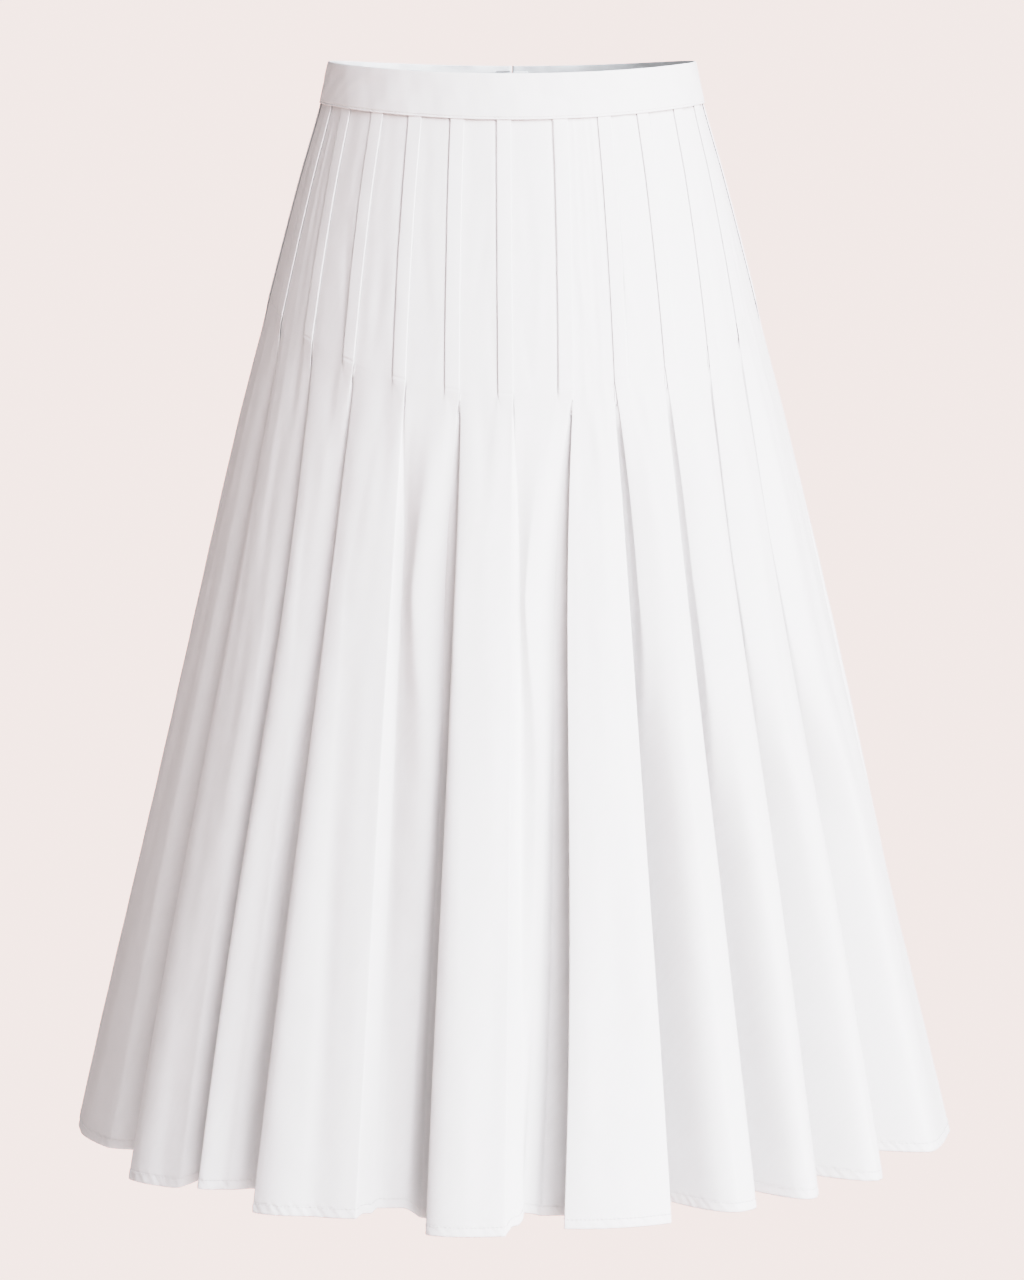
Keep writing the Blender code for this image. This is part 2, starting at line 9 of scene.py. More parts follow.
import bpy
import numpy as np
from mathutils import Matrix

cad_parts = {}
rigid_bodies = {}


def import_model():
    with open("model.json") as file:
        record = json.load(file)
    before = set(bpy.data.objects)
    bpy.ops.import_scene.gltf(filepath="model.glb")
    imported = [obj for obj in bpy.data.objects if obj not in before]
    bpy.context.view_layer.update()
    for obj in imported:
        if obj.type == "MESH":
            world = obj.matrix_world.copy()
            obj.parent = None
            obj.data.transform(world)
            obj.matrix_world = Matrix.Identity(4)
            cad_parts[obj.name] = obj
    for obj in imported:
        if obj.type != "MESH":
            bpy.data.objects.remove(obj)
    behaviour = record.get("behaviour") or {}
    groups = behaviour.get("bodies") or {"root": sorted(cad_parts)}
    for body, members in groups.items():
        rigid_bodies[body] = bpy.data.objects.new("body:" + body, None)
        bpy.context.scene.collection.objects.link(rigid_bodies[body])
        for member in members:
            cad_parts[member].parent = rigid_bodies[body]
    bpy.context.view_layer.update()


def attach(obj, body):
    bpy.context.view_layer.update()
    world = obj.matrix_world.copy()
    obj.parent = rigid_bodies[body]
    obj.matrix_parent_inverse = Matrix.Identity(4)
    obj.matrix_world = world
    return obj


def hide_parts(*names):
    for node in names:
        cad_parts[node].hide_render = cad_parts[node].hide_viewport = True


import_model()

BODY = "skirt"

# Cloth
LAYER = 0.0006  # from the middle of one layer to the middle of the next one in a tuck
TOP_OUT = -0.0003  # the middle of the top layer, out from the sections
SEAM_GAP = 0.0005  # between the two panels' folded edges at a seam
ALLOWANCE = 0.010  # seam allowance turned in at a seam

# Heights of the skirt's lines
SEAM_SIDE = -0.0127
SEAM_DIP = 0.0082
RELEASE_SIDE = -0.1480
RELEASE_DIP = 0.0540
RELEASE_CURVE = 1.85
HEM = -0.7350
TUCKED_LEVEL = -0.035  # how far the panels reach up inside the waistband

# Tucks in the stitched yoke
STRIP = 0.0105  # from a tuck's fold to its stitching
TUCK = 0.0100  # how far its underlay goes back behind its fold
GROOVE = 0.00080  # how deep the stitching pulls the cloth in
STEP_IN, STEP_OUT = 0.0007, 0.0011  # the step down at the stitching, each side of it
MOUTH = 0.00030  # how far a stitched tuck's fold stands off the panel it lies on
SUNK = 0.0022  # how much further in its underlay hangs below the stitching

# How the flutes grow from the release (0) to the hem (1)
MID = 0.25  # where the tables' mid values hold
DEPTH_GROWTH = 0.62  # power by which a valley deepens
DEPTH_START, DEPTH_SPAN = 0.25, 0.09  # share of that it starts with, and how far down it has all of it
SHIFT_GROWTH = 0.5  # power by which its inner fold widens
RISEN = 0.15  # how far down the flutes a panel's low side has risen out of its tuck
UNSTITCHED = 0.004  # how far down they are when the stitching's steps are gone
SPREAD = 0.030  # how far down they are when the tucks' points have moved to the flutes' places
END_LEVEL, END_REACH, END_DENT = 0.9935, 0.0045, 0.00045  # dent across a tuck's lower end: level, size
SOFT_SPAN = 0.26  # how far down a pressed fold takes to round off
PRESSED_WIDE = (0.0124, 0.0210)  # how much of a top panel falls back to its pressed fold, at 0 and MID
OPEN_WIDE = 0.0320  # the same beside a pleat that opens out flat
PRESSED_FALL = 0.0085  # how far it falls back there at MID
OPEN_FALL = 0.4  # share of it beside a pleat that opens out flat
FALL_GROWTH = 0.8  # power by which it grows down to MID
LIFT_ROUND, PRESSED_ROUND = 1.5, 1.7  # powers that round off its rise out of the tuck and its fall
PRESSED_SHARES = (1.00, 0.72, 0.45, 0.20)  # its points, from the face to the fold's edge
TILT_POWER = 1.3  # power by which a panel's tilt grows across its face
FALL_SHARES = (0.00, 0.26, 0.48, 0.68, 0.86, 1.00)  # points of a soft fall, from face to inner fold
FALL_POWER = 1.75  # power that rounds it off
POCKET = 0.0040  # how much deeper a valley is just below its stitching
POCKET_SPAN = (0.012, 0.22)  # how far down it's whole, and how much further down it's gone
POCKET_DEPTH = 50  # depth in millimetres of a valley that needs none
UNDERCUT = 0.0130  # how far a valley runs in behind the crisp edge beside it
FOLD_WIDEN = 0.0020  # how much wider a valley's inner fold is at the hem
OPEN_SHARES = ((0.30, 0.38), (0.58, 0.76), (0.82, 0.95))  # an opened-out pleat: share across, of trough
OPEN_STEP = 0.0008  # how far in it starts from the top panel's edge
OPEN_SPAN = 0.05  # how far down it's fully opened out
TROUGH_SPAN = 0.22  # how far down its trough is deepest
TROUGH_FADE = (0.45, 0.55, 0.9)  # where the trough starts to fade, over what reach, and by what share
TROUGH_ROUND = (0.82, 0.46, 0.12)  # how much of the trough each point of the next face has
EDGE_GROWTH = 0.5  # power by which the fall to a crisp edge grows
EDGE_ROUND = (0.42, 0.08, 0.0)  # how much of the fall to its crisp edge each point of a face has
PULLED_IN = 0.00015  # how deep the tuck's own layer is pulled in at its stitching
LANDED_SPAN = 0.02  # how far down a fold still lies on the panel under it
TURNED_SPAN = 0.06  # how far down its turned edge has come round
FOLDED_SPAN = 0.04  # how far down its underlay has left the tuck for the valley
CRISP_SPAN, CRISP_OFF = 0.012, 0.0015  # how far down a crisp edge stands off the fold, and how far at 0

SECTIONS = (
    # height, half width, half depth in front, half depth behind
    (0.016, 0.1255, 0.095, 0.095),
    (-0.0127, 0.1322, 0.1008, 0.1008),
    (-0.0657, 0.1476, 0.1165, 0.1185),
    (-0.1486, 0.1692, 0.1426, 0.145),
    (-0.2317, 0.1893, 0.1683, 0.169),
    (-0.4, 0.2286, 0.2196, 0.215),
    (-0.57, 0.2683, 0.2714, 0.26),
    (-0.745, 0.3094, 0.3241, 0.307),
)

PLEATS = (
    # name, turn (1 where the panel on top is the one before it), degrees of its fold: seam, release, mid,
    # hem, and of the crisp edge: mid, hem; millimetres: fall_mid, fall_hem, floor_mid, floor_hem, depth,
    # edge_drop, rise; softens (how far down its pressed fold is half gone)
    ("side_right", 1, -87, -87, -88.5, -92, -87, -90.5, 12, 22, 2, 6, 40, 5, 4, 0.2),
    ("front_1", 1, -69.2, -67.1, -66, -60.5, -62.6, -59.3, 13, 18, 22, 56, 18, 4, 4, 0.14),
    ("front_2", 1, -56.2, -51.1, -48.6, -46, -46.8, -45.2, 9, 13, 9, 18, 14, 4, 4, 0.3),
    ("front_3", 1, -41.1, -37, -37.8, -36, -36, -35, 8, 13, 10, 26, 17, 6, 4, 0.36),
    ("front_4", 1, -27.2, -23.4, -23.1, -21, -21.7, -18.6, 0, 0, 0, 0, 36, 9, 0, 0),
    ("front_5", 1, -13.9, -11.2, -13, -13, -10.6, -10.9, 7, 11, 4, 12, 13, 5, -3, 0.36),
    ("front_6", 1, -0.3, 0.2, 0, -0.8, 1.5, 1.6, 0, 0, 0, 0, 40, 7, 0, 0),
    ("front_7", 1, 16.2, 13, 8.2, 5, 9.9, 6.4, 9, 16, 5, 11, 15, 5, -2, 0.36),
    ("front_8", -1, 25.6, 22.5, 24.4, 22.9, 22, 20.6, 20, 36, 4, 12, 62, 6, 4, 0.4),
    ("front_9", -1, 39.5, 35.4, 36.8, 35.6, 34.2, 33.4, 15, 25, 9, 18, 56, 6, 4, 0.5),
    ("front_10", -1, 56.2, 49.3, 48.2, 46.4, 46.4, 44.4, 12, 26, 12, 29, 54, 7, 4, 0.46),
    ("front_11", -1, 70.8, 63.3, 61.6, 58.6, 59.8, 57.3, 12, 22, 22, 50, 56, 6, 4, 0.48),
    ("side_left", -1, 87, 86.8, 88.5, 92, 86.9, 90.6, 12, 22, 2, 6, 45, 5, 4, 0.2),
    ("back_1", -1, 104, 103.4, 103.6, 107, 102, 105, 18, 40, 0, 2, 62, 12, 4, 0.34),
    ("back_2", -1, 120.5, 120, 119.8, 121.2, 118.2, 119, 12, 24, 2, 8, 60, 12, 4, 0.42),
    ("back_3", -1, 136.3, 136, 135.6, 134.6, 133.4, 132.8, 24, 48, -2, -4, 58, 11, 4, 0.3),
    ("back_4", -1, 151.6, 151.4, 151, 150.6, 149.2, 149.2, 14, 30, 2, 6, 60, 11, 4, 0.44),
    ("back_5", -1, 166.5, 166.4, 166.6, 166.4, 164.5, 164.6, 20, 42, 0, 0, 60, 11, 4, 0.36),
    ("back_6", 1, 193.5, 193.6, 193.2, 193.8, 195.2, 195.5, 16, 34, 1, 4, 60, 12, 4, 0.4),
    ("back_7", 1, 208.6, 208.8, 209.4, 209.8, 211.1, 211.2, 22, 46, -2, -3, 58, 11, 4, 0.33),
    ("back_8", 1, 224, 224.2, 224.6, 225.4, 226.9, 227.2, 13, 26, 2, 8, 62, 13, 4, 0.42),
    ("back_9", 1, 239.8, 240.2, 240.6, 239.4, 242.3, 240.8, 20, 40, 0, 1, 60, 11, 4, 0.3),
    ("back_10", 1, 256.2, 256.6, 256.4, 253.4, 258.4, 255.4, 12, 24, 2, 8, 62, 13, 4, 0.37),
)

PANELS = (
    # name, out_mid, out_hem, tilt, drop (millimetres): how far out it stands, how much further out its
    # last side stands at the hem, and how far its hem hangs below HEM
    ("flute_a", 1, 4, -15, -10),
    ("flute_b", 0, 0, -14, -2),
    ("flute_c", 0, -4, -14, -7),
    ("flute_d", 0, 0, -16, 1),
    ("recess_right", -5, -25, -6, -6),
    ("flute_e", 0, -1, 0, 5),
    ("recess_centre", -5, -20, -10, -5),
    ("flute_f", 0, -2, 0, 1),
    ("flute_g", 0, -6, 0, -2),
    ("flute_h", 0, -6, 0, -3),
    ("flute_i", 0, -3, 0, -5),
    ("flute_j", 2, 3, 0, -10),
    ("flute_k", 2, 1, 0, -6),
    ("flute_l", 0, -4, 0, -2),
    ("flute_m", 0, 0, 0, 0),
    ("flute_n", 0, -5, 0, 2),
    ("flute_o", 0, 0, 0, 0),
    ("flute_p", 0, 0, 0, 2),
    ("flute_q", 0, -4, 0, 0),
    ("flute_r", 0, 0, 0, 2),
    ("flute_s", 0, -5, 0, -1),
    ("flute_t", 0, 0, 0, -3),
    ("flute_u", 1, 2, 0, -6),
)
SIDE_LEFT = 12  # number of the pleat at the left side seam
BACK_PANEL = 17  # number of the last pleat before centre back
FACE_SHARES = (0.22, 0.50, 0.78)  # points across a panel's face

# Soft waves of the cloth, out from its own surface, and how much of them each point has
WAVES = (
    # length across, length down, depth in the yoke, depth below (metres), phase
    (0.0125, 0.26, 0.00008, 0.00006, 0.3),
    (0.0197, -0.35, 0.0001, 0.00015, 1.9),
    (0.0323, 0.56, 0.00009, 0.00036, 4.1),
    (0.0487, -0.43, 0.00006, 0.00055, 2.6),
    (0.021, 0.048, 0.00005, 0.00007, 5),
)
WAVES_BELOW = 0.25  # how far down the flutes the depth below holds
GUIDE_LEVEL = 1.3  # level whose row's length the waves are laid out on
WAVE_WEIGHTS = {"face": 1.0, "s1": 0.9, "s2": 0.6, "s3": 0.5, "s4": 0.4, "crisp": 0.25}
PUCKER_PITCH = 0.0052  # of the puckers across a stitched tuck
PUCKER_DEPTH = 0.00006
PUCKERS_END = 0.98  # level

# Creases, placed one by one
CREASES = (
    # degrees, then height, half length, lean (degrees, + leans out to the wearer's left going down),
    # half width and depth, the lengths in millimetres
    (-49, -130, 34, 14, 3.4, -0.75), (-53.5, -56, 22, 4, 3, -0.35),
    (-64, -75, 30, 2, 3.2, -0.4), (-60.5, -112, 26, 8, 3, 0.35),
    (-46, -90, 24, -6, 3, 0.32), (-37.5, -142, 34, 5, 4.4, -0.6),
    (-36.5, -62, 30, 0, 4, -0.38), (-33, -106, 28, -4, 3.2, 0.36),
    (-30.5, -156, 20, 10, 3, -0.3), (-24, -133, 22, 12, 4, -0.42),
    (-21, -72, 30, 0, 3.6, 0.34), (-18, -162, 26, -8, 3.2, 0.34),
    (-9, -112, 28, -6, 4, -0.36), (-6, -57, 22, 3, 3.2, 0.3),
    (-5, -164, 28, 5, 3.4, -0.34), (5, -86, 30, 2, 4, -0.38),
    (7.5, -142, 30, -5, 3.6, 0.4), (4, -178, 18, 8, 3, -0.36),
    (17.5, -64, 26, -2, 3.8, -0.42), (19.5, -126, 34, 4, 4.2, 0.46),
    (16.5, -164, 24, -8, 3.2, -0.44), (31.5, -80, 28, -3, 4, -0.5),
    (33, -142, 28, 6, 3.4, 0.48), (45, -70, 30, 0, 3.8, 0.5),
    (46.5, -128, 28, -7, 3.4, -0.54), (59.5, -92, 34, -2, 3.6, -0.58),
    (62, -134, 22, 6, 3, 0.46), (-58, -206, 34, 10, 5, -0.9),
    (-44.5, -224, 38, 9, 5.2, -0.95), (-41, -210, 26, -6, 4, 0.6),
    (-30, -236, 40, 8, 5.6, -0.95), (-26.5, -230, 28, -4, 4.2, 0.6),
    (-6, -244, 42, 7, 5.6, -0.8), (-2.5, -238, 26, -5, 4, 0.5),
    (16.5, -242, 40, -6, 5.6, -0.95), (19.5, -230, 28, 5, 4.2, 0.62),
    (29.5, -232, 40, -8, 5.4, -1), (33, -220, 26, 5, 4.2, 0.64),
    (42.5, -218, 38, -8, 5.2, -1.05), (56, -202, 36, -9, 5, -1.05),
    (-30, -370, 80, 2, 8.5, -1.1), (-6, -430, 110, -2, 11, 1.2),
    (-1.5, -610, 90, 2, 9, -1), (16, -390, 90, -3, 10, -1.2),
    (19, -580, 110, 2, 11, 1.2), (30.5, -460, 100, -3, 9.5, -1.2),
    (41.5, -360, 80, -4, 8.5, -1.2), (54, -500, 110, -3, 10, -1.3),
    (-42.5, -520, 100, 3, 9, -0.6), (-56, -420, 90, 4, 8.5, -0.6),
    (-28.5, -620, 80, 2, 10, 1), (76, -100, 40, -2, 4, -0.5),
    (-76, -90, 36, 2, 4, -0.5), (97, -90, 36, -2, 4.4, 0.46),
    (111, -115, 34, 4, 4, -0.54), (128, -74, 30, -2, 4, 0.44),
    (143, -134, 36, 5, 4.2, -0.56), (159, -88, 30, 0, 4, -0.46),
    (172, -146, 30, 7, 3.8, 0.44), (188.5, -126, 32, -6, 4, -0.46),
    (201, -76, 32, 2, 4, 0.44), (216.5, -132, 34, -5, 4.2, -0.56),
    (232, -92, 30, 3, 4, 0.46), (248, -122, 34, -4, 4, -0.54),
    (264, -82, 34, 2, 4.2, -0.46), (111.5, -212, 40, -8, 5.4, -1),
    (127.5, -226, 38, -7, 5.4, -0.95), (143.5, -234, 42, -7, 5.6, -1),
    (158.5, -242, 38, -6, 5.4, -0.9), (180, -256, 44, 4, 6, -0.8),
    (201.5, -242, 38, 6, 5.4, -0.95), (217, -232, 42, 7, 5.6, -1),
    (233, -224, 38, 8, 5.4, -0.95), (248.5, -212, 38, 8, 5.2, -1),
    (120, -440, 100, -3, 10, -1.2), (143, -540, 110, 3, 10.5, 1.2),
    (159, -400, 90, -2, 9.5, -1.1), (180, -470, 120, 2, 12, 1.3),
    (201, -560, 100, -2, 10, -1.2), (217.5, -420, 100, 3, 10, -1.2),
    (241, -520, 110, 3, 10, 1.1),
)

# Mesh rows: (level, number of rows up to the next one), then the hem's, as heights above its edge
ROW_RUNS = (
    (TUCKED_LEVEL, 3), (0.0, 28), (0.93, 5), (0.982, 9), (1.018, 7), (1.06, 9), (1.16, 56), (1.955, 4),
    (1.975, 0)
)
HEM_STITCH = 0.0065  # its stitching, above the hem's edge
HEM_ROUND = 0.0006  # how far above the edge its rounding starts
HEM_ROWS = (0.0105, 0.0085, 0.0072, HEM_STITCH, 0.0058, 0.0046, 0.0032, 0.0018, HEM_ROUND)
HEM_DENT = 0.00025  # how deep that pulls the cloth in
HEM_PUCKER = 0.00033
HEM_TURN = 0.0080  # how wide its turning is
HEM_WALL = 0.0012  # from its outer to its inner face
HEM_STEP = 0.0013  # between the hem's finer columns

# Samples on the rounded corner at each point of a row
SAMPLES = {"edge": 5, "turned": 4, "crisp": 5, "face": 6}
OTHER_SAMPLES = 3

# Thread
STITCH_PITCH = 0.0028
STITCH_LONG = 0.0022
THREAD = 0.00022  # radius
THREAD_OUT = 0.00035  # the hem's thread, out from its edge's line
STITCH_SIDES = 5
LONGEST_RUN = 40  # columns that a run from a tuck's lower end may cross

# Waistband
BAND_TOP = 0.0160
BAND_TOP_DIP = 0.0057
BAND_SLOT = (0.0012, 0.0002)  # from centre back to each of its ends, beside the slider and elsewhere
BAND_SLOT_HIGH = (0.0032, 0.0045)  # from the slider's middle, where the slot starts to close and is closed
BAND_HIGH = 0.0270  # that the height shares and the mottling are laid out on
BAND_EDGE_UP = 0.0002  # from the waist seam to its lower edge
BAND_FACE = 0.0009  # its outer face, out from the sections
BAND_BACK = -0.0020  # its inner face, at its lower edge and under its top fold
BAND_BACK_TOP = -0.0006
BAND_PILLOW = 0.00025  # how far its face stands out half way up
BAND_STITCH = 0.0014  # its topstitching, above its lower edge
BAND_DENT = 0.0005  # how deep that pulls the cloth in
BAND_INSIDE = (0.0012, 0.0014)  # its edge turned under, in from its outer face, and the turning's end
BAND_SHARES = (1.0, 0.94, 0.88, 0.81, 0.74, 0.66, 0.58, 0.50, 0.42, 0.34, 0.27, 0.20, 0.15)  # outer rows
BAND_EDGE_ROWS = (  # its last outer rows, above its lower edge
    0.0034, 0.0028, 0.0023, 0.0020, 0.0017, BAND_STITCH, 0.0011, 0.0008, 0.0005, 0.0002, 0.0
)
BAND_COLUMNS = 620
BAND_OUTER_LAST = 37  # number of its row at the outer lower edge
BAND_WAVES = (
    # length along the band, height shares, depth (metres), phase
    (0.041, 2.3, 0.00016, 0.4),
    (0.0233, -1.6, 0.00011, 2.1),
    (0.0127, 1.1, 0.00005, 4),
    (0.113, 3, 0.00022, 1.2),
)
BAND_CREASES = (
    # middle along the band, height share, reach, lean (degrees), width and depth, in millimetres
    (-166, 0.7, 12, 24, 2.4, -0.75), (-156, 0.42, 10, 34, 2.4, 0.62),
    (-143, 0.66, 13, 16, 2.8, -0.66), (-133, 0.36, 9, 40, 2.2, -0.52),
    (-122, 0.55, 11, 28, 2.8, 0.48), (-108, 0.62, 14, 10, 3, -0.44),
    (-86, 0.4, 10, 30, 2.8, 0.32), (-54, 0.6, 16, 12, 3.4, -0.3),
    (32, 0.45, 15, -14, 3.4, -0.28), (91, 0.58, 14, -20, 3.2, 0.34),
    (135, 0.5, 11, -32, 2.4, -0.26), (158, 0.6, 10, -26, 2.2, 0.3),
    (215, 0.5, 12, 18, 2.6, -0.26), (260, 0.6, 14, -12, 2.8, 0.2),
    (310, 0.45, 11, 26, 2.4, -0.22), (-210, 0.55, 12, -20, 2.5, -0.28),
    (-255, 0.45, 14, 14, 2.8, 0.22), (-305, 0.6, 11, -24, 2.4, -0.2),
)

# Sun
SUN_HIGH = 28  # degrees up
SUN_AROUND = 42  # degrees round from centre front, towards the wearer's left

# Tone curve: (light, how it shows)
TONE_WHITE = 2.0  # the light that shows as TONE_TOP
TONE_TOP = 0.96
TONE = ((0.35, 0.35), (0.70, 0.70), (0.85, 0.79), (0.95, 0.826), (1.20, 0.880), (1.40, 0.912))

# Camera
CAMERA = (0.0, -4.4, 0.126)
CAMERA_DOWN = 6.623  # degrees that it looks down by
CAMERA_LENS = 179.24  # millimetres
CAMERA_SEES = 400.0  # how far

# Floor: its own glow near the skirt and beyond, so that the backdrop is as pale as the photo's
FLOOR_NEAR, FLOOR_FAR = 5.0, 7.0
FLOOR_HALF = 300
FLOOR_LEVEL = -2.5
FLOOR_NEAR_GLOW = (0.060, 0.056, 0.055)
FLOOR_FAR_GLOW = (0.41, 0.165, 0.100)

# Materials
WAVE_BAND = 0.314  # metres between a wave texture's bands at scale 1
ROUGH_SPREAD = 0.06  # how far the cloth's roughness goes either way

# Concealed zip
ZIP_TOP = 0.0065  # height of the tapes' upper ends
ZIP_LEVEL = 0.93  # level where the tapes end
SEAM_CLOSES = 0.08  # how much further down the seam under them is closed
TAPE_WIDE = 0.0100
TAPE_NEAR = 0.0011  # from centre back to each tape
TAPE_WALL = 0.0005
TAPE_OUT = -0.0034  # from the sections
TAPE_STEP = 0.0015  # between its rows
TAPE_SHARES = (0.0, 0.06, 0.14, 0.32, 0.5, 0.68, 0.86, 0.94, 1.0)  # its columns
COIL_PITCH = 0.0014
COIL_RADIUS = 0.00028
COIL_REACH = 0.0001  # from centre back to a turn's outer end
COIL_ON_TAPE = 0.0018  # how far over the tape its inner end lies
COIL_BOW = 0.0007  # how far in a turn bows
COIL_END = 0.0030  # bare tape at each end
COIL_RINGS = 7
COIL_SIDES = 5


def mix(a, b, share):
    return a + (b - a) * share


def smooth(share):
    share = min(max(share, 0.0), 1.0)
    return share * share * (3 - 2 * share)


def cubic(a, b, slope_a, slope_b, t):
    """A smooth curve from a to b that has these slopes at its ends, at t."""
    s2, s3 = t * t, t**3
    ends = (2 * s3 - 3 * s2 + 1) * a + (3 * s2 - 2 * s3) * b
    return ends + (s3 - 2 * s2 + t) * slope_a + (s3 - s2) * slope_b


def section(z, column):
    """A column of SECTIONS at height z, as a smooth curve through its rows."""
    rows = SECTIONS[::-1]
    z = min(max(z, rows[0][0]), rows[-1][0])
    i = max(k for k in range(len(rows) - 1) if rows[k][0] <= z or k == 0)
    low, high = rows[i], rows[i + 1]
    step = high[0] - low[0]
    share = (z - low[0]) / step

    def slope(k):
        before, after = rows[max(k - 1, 0)], rows[min(k + 1, len(rows) - 1)]
        return (after[column] - before[column]) / (after[0] - before[0])

    return cubic(low[column], high[column], step * slope(i), step * slope(i + 1), share)


def ellipse(deg, z):
    """The half width and half depth of the skirt at height z, and the angle in radians."""
    t = math.radians(deg)
    return section(z, 1), section(z, 2 if math.cos(t) > 0 else 3), t


def point_at(deg, out, z):
    """The point at this angle and height, this far out from the sections."""
    width, depth, t = ellipse(deg, z)
    return np.array(((width + out) * math.sin(t), -(depth + out) * math.cos(t), z))


def degrees_for(length, deg, z):
    """The angle that this length takes up round the skirt, at this angle and height."""
    width, depth, t = ellipse(deg, z)
    return math.degrees(length / math.hypot(width * math.cos(t), depth * math.sin(t)))


def seam_height(deg):
    return SEAM_SIDE - SEAM_DIP * math.cos(math.radians(deg)) ** 2


def release_height(deg):
    return RELEASE_SIDE - RELEASE_DIP * abs(math.cos(math.radians(deg))) ** RELEASE_CURVE


def height_at(deg, level, drop):
    """The height of a level: 0 at the waist seam, 1 where the stitching ends, 2 at the hem."""
    if level <= 1:
        return mix(seam_height(deg), release_height(deg), level)
    return mix(release_height(deg), HEM - drop, level - 1)


def grown(mid, hem, p):
    """A measure that starts from nothing and has these values at MID and at the hem."""
    swell = p * (1 - p) ** 3 / (MID * (1 - MID) ** 3)
    return hem * p + (mid - MID * hem) * swell


def trough_growth(p):
    """How deep an open pleat's trough is at p, as a share of its depth."""
    start, reach, loss = TROUGH_FADE
    return smooth(p / TROUGH_SPAN) * (1 - loss * smooth((p - start) / reach))


def pleat_angles(row, level):
    """The angles of a pleat's fold and of the crisp edge beside it."""
    seam, release, mid, hem, crisp_mid, crisp_hem = row[2:8]
    if level <= 1:
        return (mix(seam, release, level),) * 2
    p = level - 1
    return (
        release + grown(mid - release, hem - release, p),
        release + grown(crisp_mid - release, crisp_hem - release, p),
    )


def panel_out(panel, p, tilted):
    """How far out a panel's face stands: at its first side or, with tilted, at its last one."""
    _, out_mid, out_hem, tilt, _ = panel
    return TOP_OUT + (grown(out_mid, out_hem, p) + (tilt * p if tilted else 0)) / 1000


